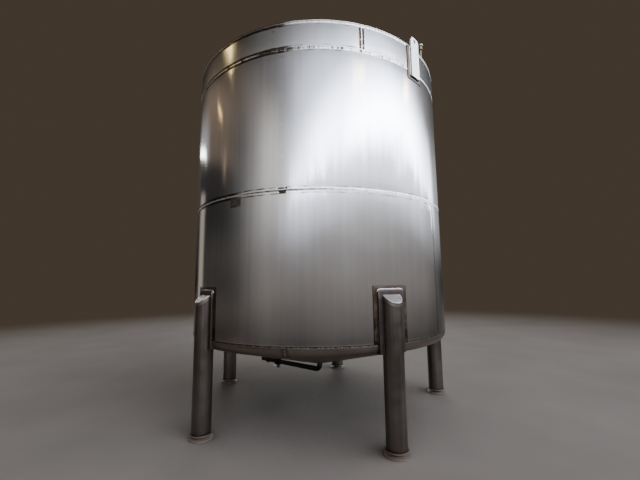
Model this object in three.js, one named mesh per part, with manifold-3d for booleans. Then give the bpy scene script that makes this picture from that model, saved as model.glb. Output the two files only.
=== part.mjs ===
// Vertical storage tank of stainless steel sheet, standing on five tubular legs.
// Millimetres, +Z up, floor at Z = 0. X runs through the two lifting lugs and one leg stands on the -Y side.
// The origin is the centre of the footprint, so the tank's own axis stands a little to the +Y side of it.
import * as THREE from 'three';
import { mergeVertices } from 'three/addons/utils/BufferGeometryUtils.js';
import Module from 'manifold-3d';

const wasm = await Module();
wasm.setup();

// Driving dimensions
const gap = 0.4;                  // clearance between a piece and the one it was cut to fit
const shellSides = 90;            // facets round the shell, a whole number of them between two legs
const shell = { radius: 1665, wall: 4, floor: 975, courseHeight: 1500, topCourseHeight: 295 };
const seamAngles = { lower: 10, upper: -54, top: -26 };
const bottomSectors = 5;
const bottom = { knuckle: 100, slope: 15 };
const roof = { knuckle: 25, slope: 10, wall: 3, holeRadius: 226 };
const legs = { count: 5, circle: 1680, radius: 100, sides: 32, mitre: 36, mitreTop: 1446 };
const pad = { width: 390, bottom: 990, top: 1535, thickness: 3 };
const saddle = { width: 300, bottom: 895, top: 1504, corner: 30, standoff: 15 };
const cap = { thickness: 4, overhang: 3 };
const foot = { radius: 125, edge: 8, crown: 16, bossRadius: 36, bossTop: 22, stemRadius: 20 };
const endPlate = { radius: 110, thickness: 12, bottom: 40 };
const lug = { width: 156, bottom: 3898, top: 4395, corner: 55, thickness: 22, eyeRadius: 17, eyeDrop: 40 };
const lugPad = { width: 264, bottom: 3860, top: 4265, thickness: 3 };
const vent = { circle: 1580, angle: 16.5, pipeRadius: 15, pipeTop: 4564 };
const ventHead = { bodyRadius: 28, capRadius: 36, capBottom: 4620, capTop: 4642 };
const manway = { neckRadius: 225.6, wall: 4, top: 4690, flangeRadius: 250, flangeThickness: 12, lidRise: 45 };
const drain = { radius: 35, level: 377, bend: 72, angle: 188, runEnd: 800 };
const valve = { radius: 58, hub: 46, length: 52 };
const knob = { stemRadius: 12, radius: 28, top: 61, drop: 92 };
const lever = { length: 160, width: 26, thickness: 8 };
const outlet = { radius: 35, nutRadius: 50, nutStart: 1030, nutLength: 34, end: 1180 };

const rad = THREE.MathUtils.degToRad;
const tankTop = shell.floor + 2 * shell.courseHeight + shell.topCourseHeight;
const saddleFace = shell.radius + saddle.standoff;
const padInner = shell.radius + 0.5;
const axisOffset = (legs.circle + foot.radius - shell.radius) / 2;

// Welds the vertices of a geometry, drops triangles without area and turns the faces outwards.
function closed(geometry) {
  const bare = geometry.clone();
  bare.deleteAttribute('normal');
  bare.deleteAttribute('uv');
  const merged = mergeVertices(bare, 1e-3);
  const index = merged.index.array;
  const kept = [];
  for (let i = 0; i < index.length; i += 3) {
    const [a, b, c] = [index[i], index[i + 1], index[i + 2]];
    if (a !== b && b !== c && c !== a) kept.push(a, b, c);
  }
  if (signedVolume(merged.attributes.position, kept) < 0) kept.reverse();
  merged.setIndex(kept);
  merged.computeVertexNormals();
  return merged;
}

function signedVolume(position, index) {
  const [a, b, c] = [new THREE.Vector3(), new THREE.Vector3(), new THREE.Vector3()];
  let sum = 0;
  for (let i = 0; i < index.length; i += 3) {
    a.fromBufferAttribute(position, index[i]);
    b.fromBufferAttribute(position, index[i + 1]);
    c.fromBufferAttribute(position, index[i + 2]);
    sum += a.dot(b.cross(c)) / 6;
  }
  return sum;
}

function toManifold(geometry) {
  const solid = closed(geometry);
  return new wasm.Manifold(new wasm.Mesh({
    numProp: 3,
    vertProperties: new Float32Array(solid.attributes.position.array),
    triVerts: new Uint32Array(solid.index.array),
  }));
}

function fromManifold(solid) {
  const mesh = solid.getMesh();
  const geometry = new THREE.BufferGeometry();
  geometry.setAttribute('position', new THREE.BufferAttribute(new Float32Array(mesh.vertProperties), 3));
  geometry.setIndex(Array.from(mesh.triVerts));
  return closed(geometry);
}

function cut(geometry, ...tools) {
  let solid = toManifold(geometry);
  for (const tool of tools) solid = solid.subtract(toManifold(tool));
  return fromManifold(solid);
}

function common(geometry, ...others) {
  let solid = toManifold(geometry);
  for (const other of others) solid = solid.intersect(toManifold(other));
  return fromManifold(solid);
}

function join(geometry, ...others) {
  let solid = toManifold(geometry);
  for (const other of others) solid = solid.add(toManifold(other));
  return fromManifold(solid);
}

// Turns a profile of [radius, height] pairs about the Z axis.
function turned(profile, sides) {
  const points = profile.map(([radius, height]) => new THREE.Vector2(radius, height));
  return closed(new THREE.LatheGeometry(points, sides).rotateX(Math.PI / 2));
}

// Points of an arc about a centre, from one angle to another in degrees.
function arc(cx, cy, radius, from, to, steps) {
  return Array.from({ length: steps + 1 }, (_, i) => {
    const angle = rad(from + (to - from) * i / steps);
    return [cx + radius * Math.cos(angle), cy + radius * Math.sin(angle)];
  });
}

function extruded(outline, depth, holes = []) {
  const shape = new THREE.Shape(outline.map(([x, y]) => new THREE.Vector2(x, y)));
  for (const hole of holes) shape.holes.push(new THREE.Path(hole.map(([x, y]) => new THREE.Vector2(x, y))));
  return new THREE.ExtrudeGeometry(shape, { depth, bevelEnabled: false });
}

// A plate rolled round the Z axis, between two angles in degrees.
function rolledPlate(inner, thickness, from, to, steps, low, high) {
  const outside = arc(0, 0, inner + thickness, from, to, steps);
  const inside = arc(0, 0, inner, to, from, steps);
  return closed(extruded([...outside, ...inside], high - low).translate(0, 0, low));
}

// A plate rolled round the Z axis, of a given width, whose middle faces the -Y side.
function rolledPad(size, steps) {
  const half = THREE.MathUtils.radToDeg(size.width / 2 / (padInner + size.thickness));
  return rolledPlate(padInner, size.thickness, -90 - half, -90 + half, steps, size.bottom, size.top);
}

// Upright outline of a plate with two rounded upper corners, as [across, height] pairs.
function roundedTop(width, low, high, corner, steps) {
  const half = width / 2;
  return [
    [-half, low],
    [half, low],
    ...arc(half - corner, high - corner, corner, 0, 90, steps),
    ...arc(corner - half, high - corner, corner, 90, 180, steps),
  ];
}

// An upright outline given as [across, height], made a plate that faces the -Y side.
function uprightPlate(outline, near, far, holes = []) {
  return extruded(outline, far - near, holes).rotateX(Math.PI / 2).translate(0, -near, 0);
}

function block(x, y, z, centre) {
  return new THREE.BoxGeometry(x, y, z).translate(...centre);
}

// Outside of the conical bottom, from its seam down to the middle, grown by a given offset.
function bottomProfile(offset) {
  const radius = bottom.knuckle + offset;
  const turn = arc(shell.radius - bottom.knuckle, shell.floor, radius, 0, bottom.slope - 90, 5);
  const [lastRadius, lastHeight] = turn[turn.length - 1];
  return [...turn, [0, lastHeight - lastRadius * Math.tan(rad(bottom.slope))]];
}

// Outside of the roof, from its seam up and inwards to a given radius, grown by a given offset.
function roofProfile(offset, endRadius) {
  const turn = arc(shell.radius - roof.knuckle, tankTop, roof.knuckle + offset, 0, 90 - roof.slope, 4);
  const [lastRadius, lastHeight] = turn[turn.length - 1];
  return [...turn, [endRadius, lastHeight + (lastRadius - endRadius) * Math.tan(rad(roof.slope))]];
}

function lowestPoint() {
  return bottomProfile(0).at(-1)[1];
}

// Everything the tank's underside and lower wall fill, a hair larger, as a cutter for what is fitted to them.
function tankCutter() {
  const overPad = padInner + pad.thickness + gap + 1;
  const under = bottomProfile(gap);
  const high = pad.top + 400;
  return turned([
    ...under.reverse(),
    [shell.radius + gap, pad.bottom - gap],
    [overPad, pad.bottom - gap],
    [overPad, high],
    [0, high],
  ], shellSides);
}

function roofCutter() {
  const profile = roofProfile(gap, 0);
  return turned([[0, tankTop - 200], [shell.radius, tankTop - 200], ...profile], shellSides);
}

// Two half rings butted at the upright seams of a course.
function coursePlate(seam, low, high) {
  const half = THREE.MathUtils.radToDeg(gap / 2 / shell.radius);
  const inner = shell.radius - shell.wall;
  return rolledPlate(inner, shell.wall, seam + half, seam + 180 - half, shellSides / 2, low, high);
}

// One of the equal sectors of the conical bottom, its middle on the -Y side.
function bottomSector() {
  const outside = bottomProfile(0);
  const inside = bottomProfile(-shell.wall).reverse();
  const half = Math.PI / bottomSectors;
  const reach = 2 * shell.radius;
  const point = gap / 2 / Math.sin(half);
  const wedge = extruded([
    [0, -point],
    [-reach * Math.tan(half), -point - reach],
    [reach * Math.tan(half), -point - reach],
  ], 2 * shell.floor);
  return common(turned([...inside, ...outside], shellSides), wedge);
}

function roofCone() {
  const outside = roofProfile(0, roof.holeRadius);
  const inside = roofProfile(-roof.wall, roof.holeRadius).reverse();
  return turned([...outside, ...inside, outside[0]], shellSides);
}

function legPad() {
  return rolledPad(pad, 8);
}

function legSaddle(cutter) {
  const outline = roundedTop(saddle.width, saddle.bottom, saddle.top, saddle.corner, 4);
  return cut(uprightPlate(outline, shell.radius - bottom.knuckle, saddleFace), cutter);
}

// A large block whose underside is the sloping cut at the top of a leg, raised by a given height.
function mitreBlock(raise) {
  const size = 800;
  return new THREE.BoxGeometry(size, size, size)
    .translate(0, 0, size / 2)
    .rotateX(rad(legs.mitre))
    .translate(0, -saddleFace, legs.mitreTop + raise);
}

function legTube(cutter) {
  const { radius, thickness, bottom: plateLow } = endPlate;
  const high = legs.mitreTop + 50;
  const tube = turned([
    [0, plateLow],
    [radius, plateLow],
    [radius, plateLow + thickness],
    [legs.radius, plateLow + thickness],
    [legs.radius, high],
    [0, high],
  ], legs.sides).translate(0, -legs.circle, 0);
  const low = saddle.bottom - gap;
  const behind = block(400, 400, 900, [0, 200 - saddleFace - gap, low + 450]);
  return cut(tube, behind, cutter, mitreBlock(0));
}

function legCap() {
  const radius = legs.radius + cap.overhang;
  const round = new THREE.CylinderGeometry(radius, radius, 400, legs.sides)
    .rotateX(Math.PI / 2)
    .translate(0, -legs.circle, legs.mitreTop);
  const front = block(400, 400, 900, [0, -saddleFace - gap - 200, legs.mitreTop]);
  const lift = 1 / Math.cos(rad(legs.mitre));
  const sheet = cut(mitreBlock(gap * lift), mitreBlock((gap + cap.thickness) * lift));
  return common(round, front, sheet);
}

function legFoot() {
  return turned([
    [0, 0],
    [foot.radius, 0],
    [foot.radius, foot.edge],
    [foot.bossRadius, foot.crown],
    [foot.bossRadius, foot.bossTop],
    [foot.stemRadius, foot.bossTop],
    [foot.stemRadius, endPlate.bottom - gap],
    [0, endPlate.bottom - gap],
  ], legs.sides).translate(0, -legs.circle, 0);
}

function liftingLug() {
  const outline = roundedTop(lug.width, lug.bottom, lug.top, lug.corner, 6);
  const near = padInner + lugPad.thickness + gap;
  const eye = arc(0, lug.top - lug.eyeDrop, lug.eyeRadius, 0, 345, 23);
  return closed(uprightPlate(outline, near, near + lug.thickness, [eye]));
}

function ventPlace() {
  const angle = rad(vent.angle);
  return [vent.circle * Math.cos(angle), vent.circle * Math.sin(angle), 0];
}

function ventPipe() {
  const pipe = turned([[0, tankTop - 20], [vent.pipeRadius, tankTop - 20], [vent.pipeRadius, vent.pipeTop],
    [0, vent.pipeTop]], 20).translate(...ventPlace());
  return cut(pipe, roofCutter());
}

function ventCap() {
  const low = vent.pipeTop + gap;
  const chamfer = 5;
  return turned([
    [0, low],
    [ventHead.bodyRadius, low],
    [ventHead.bodyRadius, ventHead.capBottom],
    [ventHead.capRadius, ventHead.capBottom],
    [ventHead.capRadius, ventHead.capTop - chamfer],
    [ventHead.capRadius - chamfer, ventHead.capTop],
    [0, ventHead.capTop],
  ], 24).translate(...ventPlace());
}

function manwayNeck() {
  const inner = manway.neckRadius - manway.wall;
  const low = roofProfile(0, manway.neckRadius).at(-1)[1] - 15;
  const flangeLow = manway.top - manway.flangeThickness;
  return turned([
    [inner, low],
    [manway.neckRadius, low],
    [manway.neckRadius, flangeLow],
    [manway.flangeRadius, flangeLow],
    [manway.flangeRadius, manway.top],
    [inner, manway.top],
    [inner, low],
  ], 48);
}

function manwayLid() {
  const low = manway.top + gap;
  const edge = low + manway.flangeThickness;
  const dishRadius = manway.flangeRadius - 25;
  return turned([
    [0, low],
    [manway.flangeRadius, low],
    [manway.flangeRadius, edge],
    [dishRadius, edge],
    [dishRadius * 0.72, edge + manway.lidRise * 0.62],
    [dishRadius * 0.4, edge + manway.lidRise * 0.92],
    [0, edge + manway.lidRise],
  ], 48);
}

// A piece turned about X, laid along the drain's run from a given distance off the tank's axis.
function alongDrain(geometry) {
  return geometry.rotateZ(rad(drain.angle)).translate(0, 0, drain.level);
}

// A profile of [radius, distance from the tank's axis] pairs, turned about the drain's run.
function drainTurned(profile, sides) {
  const points = profile.map(([radius, along]) => new THREE.Vector2(radius, along));
  return alongDrain(closed(new THREE.LatheGeometry(points, sides).rotateZ(-Math.PI / 2)));
}

function drainPipe() {
  const high = lowestPoint() + 30;
  const low = drain.level;
  const path = new THREE.CurvePath();
  const start = new THREE.Vector3(0, 0, high);
  const bendStart = new THREE.Vector3(0, 0, low + drain.bend);
  const corner = new THREE.Vector3(0, 0, low);
  const bendEnd = new THREE.Vector3(drain.bend, 0, low);
  const end = new THREE.Vector3(drain.runEnd, 0, low);
  path.add(new THREE.LineCurve3(start, bendStart));
  path.add(new THREE.QuadraticBezierCurve3(bendStart, corner, bendEnd));
  path.add(new THREE.LineCurve3(bendEnd, end));
  const section = new THREE.Shape().absarc(0, 0, drain.radius, 0, 2 * Math.PI);
  const tube = new THREE.ExtrudeGeometry(section, { steps: 28, curveSegments: 8, extrudePath: path });
  tube.rotateZ(rad(drain.angle));
  const cone = turned([...bottomProfile(gap).reverse(), [0, shell.floor]], shellSides);
  return cut(tube, cone);
}

function drainValve() {
  const start = drain.runEnd + gap;
  const end = start + valve.length;
  const rim = 12;
  return drainTurned([
    [0, start],
    [valve.radius, start],
    [valve.radius, start + rim],
    [valve.hub, start + rim],
    [valve.hub, end - rim],
    [valve.radius, end - rim],
    [valve.radius, end],
    [0, end],
  ], 28);
}

function drainLever() {
  const middle = drain.runEnd + gap + valve.length / 2;
  const top = -valve.hub - gap;
  const upright = (radius, high, low) => new THREE.CylinderGeometry(radius, radius, high - low, 20)
    .rotateX(Math.PI / 2)
    .translate(middle, 0, (high + low) / 2);
  const stem = upright(knob.stemRadius, top, -knob.top - 1);
  const grip = upright(knob.radius, -knob.top, -knob.drop);
  const arm = new THREE.BoxGeometry(lever.length, lever.width, lever.thickness)
    .translate(middle + lever.length / 2, 0, lever.thickness - knob.drop);
  return alongDrain(join(stem, grip, arm));
}

function drainOutlet() {
  const start = drain.runEnd + valve.length + 2 * gap;
  const nutEnd = outlet.nutStart + outlet.nutLength;
  return drainTurned([
    [0, start],
    [outlet.radius, start],
    [outlet.radius, outlet.nutStart],
    [outlet.nutRadius, outlet.nutStart],
    [outlet.nutRadius, nutEnd],
    [outlet.radius, nutEnd],
    [outlet.radius, outlet.end],
    [0, outlet.end],
  ], 28);
}

function finish(color, roughness, metalness) {
  return new THREE.MeshStandardMaterial({ color, roughness, metalness });
}

const millFinish = finish(0xb9bcc0, 0.34, 0.9);
const millFinishTop = finish(0xc6c9cc, 0.3, 0.9);
const heatTinted = finish(0x6b5b4b, 0.5, 0.8);
const brushedTube = finish(0x8d8986, 0.4, 0.9);
const brightPlate = finish(0xd9d9d8, 0.3, 0.9);
const castSteel = finish(0x77736f, 0.5, 0.8);
const drainSteel = finish(0x6f6b67, 0.4, 0.9);

const tank = new THREE.Group();
tank.position.y = axisOffset;

function add(name, geometry, material, turn = 0) {
  const mesh = new THREE.Mesh(geometry, material.clone());
  mesh.name = name;
  mesh.rotation.z = rad(turn);
  tank.add(mesh);
}

// Shell courses, each of two plates
const courseLow = {
  lower: shell.floor,
  upper: shell.floor + shell.courseHeight,
  top: shell.floor + 2 * shell.courseHeight,
};
const courseHigh = { lower: courseLow.upper, upper: courseLow.top, top: tankTop };
for (const [name, seam] of Object.entries(seamAngles)) {
  const finishHere = name === 'top' ? millFinishTop : millFinish;
  const plate = (start) => coursePlate(start, courseLow[name], courseHigh[name]);
  add(`shell_${name}_plate_1`, plate(seam), finishHere);
  add(`shell_${name}_plate_2`, plate(seam + 180), finishHere);
}
const sector = bottomSector();
for (let k = 0; k < bottomSectors; k += 1) {
  add(`bottom_sector_${k + 1}`, sector, millFinish, k * 360 / bottomSectors);
}
add('roof_cone', roofCone(), millFinishTop);

// Legs, from the one on the -Y side, anticlockwise seen from above
const cutter = tankCutter();
const legPieces = {
  pad: [legPad(), heatTinted],
  saddle: [legSaddle(cutter), brushedTube],
  tube: [legTube(cutter), brushedTube],
  cap: [legCap(), brightPlate],
  foot: [legFoot(), castSteel],
};
for (let k = 0; k < legs.count; k += 1) {
  for (const [piece, [geometry, material]] of Object.entries(legPieces)) {
    add(`leg_${k + 1}_${piece}`, geometry, material, k * 360 / legs.count);
  }
}

// Lifting lugs on the two X sides
const sides = { right: 90, left: -90 };
for (const [side, turn] of Object.entries(sides)) {
  add(`lug_pad_${side}`, rolledPad(lugPad, 6), heatTinted, turn);
  add(`lifting_lug_${side}`, liftingLug(), brightPlate, turn);
}

// Fittings on the roof and under the bottom
add('vent_pipe', ventPipe(), brightPlate);
add('vent_cap', ventCap(), brightPlate);
add('manway_neck', manwayNeck(), millFinishTop);
add('manway_lid', manwayLid(), millFinishTop);
add('drain_pipe', drainPipe(), drainSteel);
add('drain_valve', drainValve(), drainSteel);
add('drain_lever', drainLever(), castSteel);
add('drain_outlet', drainOutlet(), drainSteel);

const model = new THREE.Group();
model.add(tank);

export default model;
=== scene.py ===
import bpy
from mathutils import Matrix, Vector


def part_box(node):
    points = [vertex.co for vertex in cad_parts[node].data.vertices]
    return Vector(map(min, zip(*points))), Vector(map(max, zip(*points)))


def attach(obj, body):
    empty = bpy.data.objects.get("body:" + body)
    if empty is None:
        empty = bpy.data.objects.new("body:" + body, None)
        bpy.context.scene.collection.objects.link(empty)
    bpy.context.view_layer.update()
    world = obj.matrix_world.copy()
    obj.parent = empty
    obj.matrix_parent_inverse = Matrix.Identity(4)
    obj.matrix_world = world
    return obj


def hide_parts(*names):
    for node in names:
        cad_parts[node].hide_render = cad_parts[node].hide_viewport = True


bl_info = {
    "name": "Welded Storage Tank",
    "version": (1, 0, 0),
    "blender": (4, 5, 0),
    "location": "View3D > Sidebar > Tank",
    "description": "Makes the fine surfaces and finishes of an upright welded tank on legs, and its studio",
    "category": "Object",
}

import math

import bpy
import numpy as np
from bpy.props import FloatProperty, FloatVectorProperty, IntProperty, PointerProperty
from mathutils import Matrix, Vector

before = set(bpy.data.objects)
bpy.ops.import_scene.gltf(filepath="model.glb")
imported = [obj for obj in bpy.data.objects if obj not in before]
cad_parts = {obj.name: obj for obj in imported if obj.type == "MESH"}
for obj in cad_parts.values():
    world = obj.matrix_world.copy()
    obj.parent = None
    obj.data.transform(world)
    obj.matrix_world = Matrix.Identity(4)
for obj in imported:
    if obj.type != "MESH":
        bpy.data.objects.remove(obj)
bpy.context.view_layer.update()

MM = 0.001
UV_NAME = "metres"
# Attribute of oxide, which on leg pads and at the foot of lug welds also holds painted shade
OXIDE_NAME = "oxide"
# Attribute of brushed strips, which on a saddle's top edge is a painted highlight
DRESSED_NAME = "dressed"

# How much brighter than bare sheet a brushed strip is, and the painted highlight along a saddle's top edge
DRESSED_GAIN = 1.9

# Places that the frame gives, in metres
ROOF_LOW, ROOF_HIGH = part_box("roof_cone")
TANK_Y = (ROOF_LOW.y + ROOF_HIGH.y) / 2
TANK_RADIUS = (ROOF_HIGH.y - ROOF_LOW.y) / 2
LOWER_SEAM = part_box("shell_lower_plate_1")[0].z
MIDDLE_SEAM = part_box("shell_upper_plate_1")[0].z
UPPER_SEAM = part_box("shell_top_plate_1")[0].z
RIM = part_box("shell_top_plate_1")[1].z
LEG_COUNT = sum(name.endswith("_tube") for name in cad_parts)
FOOT_LOW, FOOT_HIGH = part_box("leg_1_foot")
LEG_CIRCLE = TANK_Y - (FOOT_LOW.y + FOOT_HIGH.y) / 2
FOOT_RADIUS = (FOOT_HIGH.x - FOOT_LOW.x) / 2
PAD_LOW, PAD_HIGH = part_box("leg_1_pad")
SADDLE_LOW, SADDLE_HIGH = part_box("leg_1_saddle")
SADDLE_FACE = TANK_Y - SADDLE_LOW.y
TUBE_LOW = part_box("leg_1_tube")[0]
CAP_LOW, CAP_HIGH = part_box("leg_1_cap")
LUG_LOW, LUG_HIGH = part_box("lifting_lug_right")
LUG_PAD_LOW, LUG_PAD_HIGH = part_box("lug_pad_right")
VENT_LOW, VENT_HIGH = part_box("vent_cap")
VENT_PIPE_LOW, VENT_PIPE_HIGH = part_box("vent_pipe")
NECK_LOW, NECK_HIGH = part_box("manway_neck")
LID_LOW, LID_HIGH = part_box("manway_lid")

# Half the widths of the pads of a leg and of a lug, measured round the shell
PAD_HALF = math.asin(-PAD_LOW.x / TANK_RADIUS) * TANK_RADIUS
LUG_PAD_HALF = math.asin((LUG_PAD_HIGH.y - LUG_PAD_LOW.y) / 2 / TANK_RADIUS) * TANK_RADIUS

# Distances from the tank's axis of a pad's back, of its face, and of the back of what stands on it
PAD_THICKNESS = 3 * MM
PAD_BACK = TANK_RADIUS + 0.5 * MM
PAD_FACE = PAD_BACK + PAD_THICKNESS
PLATE_BACK = PAD_FACE + 0.4 * MM

# Directions of the upright seams, in degrees about the tank's axis; each course has a second one opposite
UPRIGHT_SEAMS = {"lower": 10, "upper": -54, "top": -26}
COURSES = {
    "lower": (LOWER_SEAM, MIDDLE_SEAM),
    "upper": (MIDDLE_SEAM, UPPER_SEAM),
    "top": (UPPER_SEAM, RIM),
}

# Girth welds: height, slot, strength of the dark line on the crest, direction where brushing starts, and the
# oxide that is left: from and to which direction, how much there, and how much in patches elsewhere
GIRTH_WELDS = {
    "bottom": (LOWER_SEAM, "mill_finish_sheet", 0.0, 180, (-180, 180, 0.6, 0.0)),
    "middle": (MIDDLE_SEAM, "mill_finish_sheet", 0.95, -72, (-90, -80, 0.2, 0.3)),
    "upper": (UPPER_SEAM, "top_course_sheet", 0.5, -57, (-62, -49, 0.66, 0.6)),
    "rim": (RIM, "top_course_sheet", 0.5, -54, (-79, -54, 0.8, 0.3)),
}

# Marks that fitting left: course, directions from and to, heights in mm above the middle weld, or above the
# upper one on the top course, amount of oxide and of brushing
MARKS = (
    ("upper", -56.6, -53.6, 34, 1440, 0.14, 0),
    ("upper", -56.4, -53.0, 12, 29, 0.85, 0),
    ("weld", -56.2, -53.4, -16, -2, 0.7, 0),
    ("lower", -56.0, -53.5, -36, -10, 0.7, 0),
    ("lower", -76.3, -71.2, -122, -24, 0.46, 0),
    ("top", -58.8, -58.1, 218, 228, 0.9, 0),
    ("lower", 14.3, 14.9, -1008, -994, 0, 1.0),
)

# Strips beside the upright seams: from and to which distance in mm, and how much oxide they keep
UPRIGHT_STRIPS = {"top": (4, 31, 1.0), "upper": (3, 14, 0.0), "lower": (3, 14, 0.75)}

# How strong the line of oxide is along the lower and the upper girth weld of a course
EDGE_OXIDE = {"top": (1.0, 0.9), "upper": (0.9, 1.0), "lower": (0.3, 0.9)}

# Directions where brushing starts along the lower and the upper girth weld of a course
BRUSHED_FROM = {"top": (-52, -53), "upper": (-72, -52), "lower": (-180, -72)}

# Distance of the line of oxide from a girth weld, its spread, and where the brushed strip fades out
OXIDE_LINE, OXIDE_SPREAD = 30 * MM, 6.5 * MM
BRUSHED_FADE = (22.5 * MM, 24 * MM)

# Upright welds: width and height as shares of the flush weld's, and finish
UPRIGHT_WELDS = {
    "top": (0.8, 3.0, "brushed_weld_metal"),
    "upper": (0.6, 0.12, "skin_passed_sheet"),
    "lower": (0.6, 1.0, "skin_passed_sheet"),
}

# Distances from a weld at which rows of points lie, so that its edges stay sharp
NEAR_WELD = np.array([0, 4, 8, 13, 18, 22, 23.5, 26, 29, 32, 36, 42, 52, 66, 84, 105]) * MM

# Spacing of the points along a hand-laid weld
WELD_STEP = 2.4 * MM

# How far the edges of the pads are eased
PAD_EDGE = 1.2 * MM


def linear(hex_colour):
    """The scene-linear red, green and blue of an sRGB hex value."""
    parts = [int(hex_colour[i:i + 2], 16) / 255 for i in (1, 3, 5)]
    return tuple(c / 12.92 if c <= 0.04045 else ((c + 0.055) / 1.055) ** 2.4 for c in parts)


def size(name, description, millimetres):
    """A length property in metres, with its default given in millimetres."""
    return FloatProperty(name=name, description=description, default=millimetres * MM, unit="LENGTH")


def angle(name, description, degrees):
    """An angle property with its default given in degrees."""
    return FloatProperty(name=name, description=description, default=math.radians(degrees), unit="ROTATION")


def colour(name, description, hex_colour):
    """A colour property with its default given as an sRGB hex value."""
    return FloatVectorProperty(name=name, description=description, default=linear(hex_colour),
                               subtype="COLOR", size=3, min=0, max=1)


class TankShellSizes(bpy.types.PropertyGroup):
    wall: size("Wall", "Thickness of the rolled sheet", 4)
    seam_gap: size("Seam gap", "Gap between two plates under their weld", 0.4)
    dip: size("Weld dip", "How far the sheet draws in along a girth weld", 1.6)
    dip_reach: size("Dip reach", "Distance over which the sheet comes back out from a weld", 70)
    wave: size("Wave", "Height of the slow waves that rolling leaves in the sheet", 0.5)
    bead_width: size("Bead width", "Width of a girth weld", 30)
    bead_height: size("Bead height", "How proud a girth weld stands", 0.45)
    flush_width: size("Flush width", "Width of an upright weld", 12)
    flush_height: size("Flush height", "How proud an upright weld stands", 0.45)


class TankBottomSizes(bpy.types.PropertyGroup):
    knuckle: size("Knuckle", "Radius of the turned edge of the bottom", 100)
    slope: angle("Slope", "Fall of the conical bottom", 15)
    plates: IntProperty(name="Plates", description="Sector plates of the bottom", default=5, min=3)


class TankRoofSizes(bpy.types.PropertyGroup):
    knuckle: size("Knuckle", "Radius of the turned edge of the roof", 25)
    slope: angle("Slope", "Rise of the conical roof", 10)
    wall: size("Wall", "Thickness of the roof sheet", 3)
    opening: size("Opening", "Radius of the hole under the manway", 226)
    plates: IntProperty(name="Plates", description="Sector plates of the roof", default=10, min=3)


class TankLegSizes(bpy.types.PropertyGroup):
    tube_radius: size("Tube radius", "Outer radius of a leg tube", 100)
    mitre: angle("Mitre", "Slope of the cut at the top of a tube", 36)
    mitre_top: size("Mitre top", "Height of the sloping cut where it meets the saddle", 1446)
    saddle_corner: size("Saddle corner", "Radius of the upper corners of a saddle", 30)
    saddle_edge: size("Saddle edge", "Rounding of the edges of a saddle", 5)
    pad_corner: size("Pad corner", "Radius of the corners of a doubler pad", 8)
    cap_thickness: size("Cap thickness", "Thickness of the sloping cap", 4)
    end_plate: size("End plate", "Thickness of the round plate that closes a tube", 12)
    end_radius: size("End plate radius", "Radius of the round plate that closes a tube", 110)
    boss_radius: size("Boss radius", "Radius of the raised middle of a foot", 36)
    stem_radius: size("Stem radius", "Outer radius of the levelling screw", 20)
    thread_pitch: size("Thread pitch", "Pitch of the levelling screw", 3)
    fillet: size("Fillet", "Width of a fillet weld", 9)


class TankFittingSizes(bpy.types.PropertyGroup):
    lug_thickness: size("Lug thickness", "Thickness of a lifting lug", 22)
    lug_corner: size("Lug corner", "Radius of the upper corners of a lug", 55)
    eye_radius: size("Eye radius", "Radius of the hole in a lug", 17)
    eye_drop: size("Eye drop", "Distance of the eye below the top of a lug", 40)
    lug_pad: size("Lug pad thickness", "Thickness of the pad under a lug", 3)
    clamp_count: IntProperty(name="Clamps", description="Swing bolts round the manway", default=6, min=3)
    bolt_radius: size("Bolt radius", "Radius of a swing bolt", 6)


class TankDrainSizes(bpy.types.PropertyGroup):
    radius: size("Radius", "Outer radius of the drain pipe", 35)
    bend: size("Bend", "Radius of the drain's elbow on its centre line", 72)
    direction: angle("Direction", "Direction that the drain runs in, about the tank's axis", 188)
    valve_radius: size("Valve radius", "Radius of the valve's flanges", 58)
    hub_radius: size("Hub radius", "Radius of the valve's body", 46)
    nut_radius: size("Nut radius", "Radius of the union nut", 50)


class TankFinishes(bpy.types.PropertyGroup):
    sheet: colour("Sheet", "Mill-finish sheet of the lower and upper course", "#d3d4d8")
    top_sheet: colour("Top sheet", "Mill-finish sheet of the top course and roof", "#d8d9db")
    # The bottom sheet's darker tone is painted shade of the tank's underside
    bottom: colour("Bottom sheet", "Pickled sheet of the bottom", "#8c8178")
    leg: colour("Leg steel", "Ground tube of the legs", "#746d68")
    saddle: colour("Saddle", "Rolled plate of the saddles", "#5e5554")
    plate: colour("Bright plate", "Pickled plate of caps and lugs", "#f6f5f2")
    tint: colour("Heat tint", "Brown oxide that welding leaves", "#4a3f35")
    deep_tint: colour("Deep heat tint", "Darkest oxide beside a weld", "#1f1a17")
    bead: colour("Weld bead", "Brushed weld metal", "#ecebe9")
    foot: colour("Foot", "Stained steel of the feet", "#6f6358")
    vent: colour("Vent", "Straw-tinted steel of the vent", "#c2b493")
    drain: colour("Drain", "Dull tube of the drain", "#4b4641")


class TankStageSettings(bpy.types.PropertyGroup):
    floor: colour("Floor", "Smooth pale floor", "#726c66")
    backdrop: colour("Backdrop", "Air behind the tank", "#463d33")


SETTINGS = {
    "tank_shell": TankShellSizes,
    "tank_bottom": TankBottomSizes,
    "tank_roof": TankRoofSizes,
    "tank_legs": TankLegSizes,
    "tank_fittings": TankFittingSizes,
    "tank_drain": TankDrainSizes,
    "tank_finishes": TankFinishes,
    "tank_stage": TankStageSettings,
}


# Surfaces

def quads_of(grid):
    """The values at the four corners of each cell of a grid, counter-clockwise from its lower left."""
    return np.stack([grid[:-1, :-1], grid[:-1, 1:], grid[1:, 1:], grid[1:, :-1]], 2)


def run_along(line):
    """The distance along a line of points at each of them."""
    return np.append(0, np.linalg.norm(np.diff(line, axis=0), axis=1).cumsum())


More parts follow.
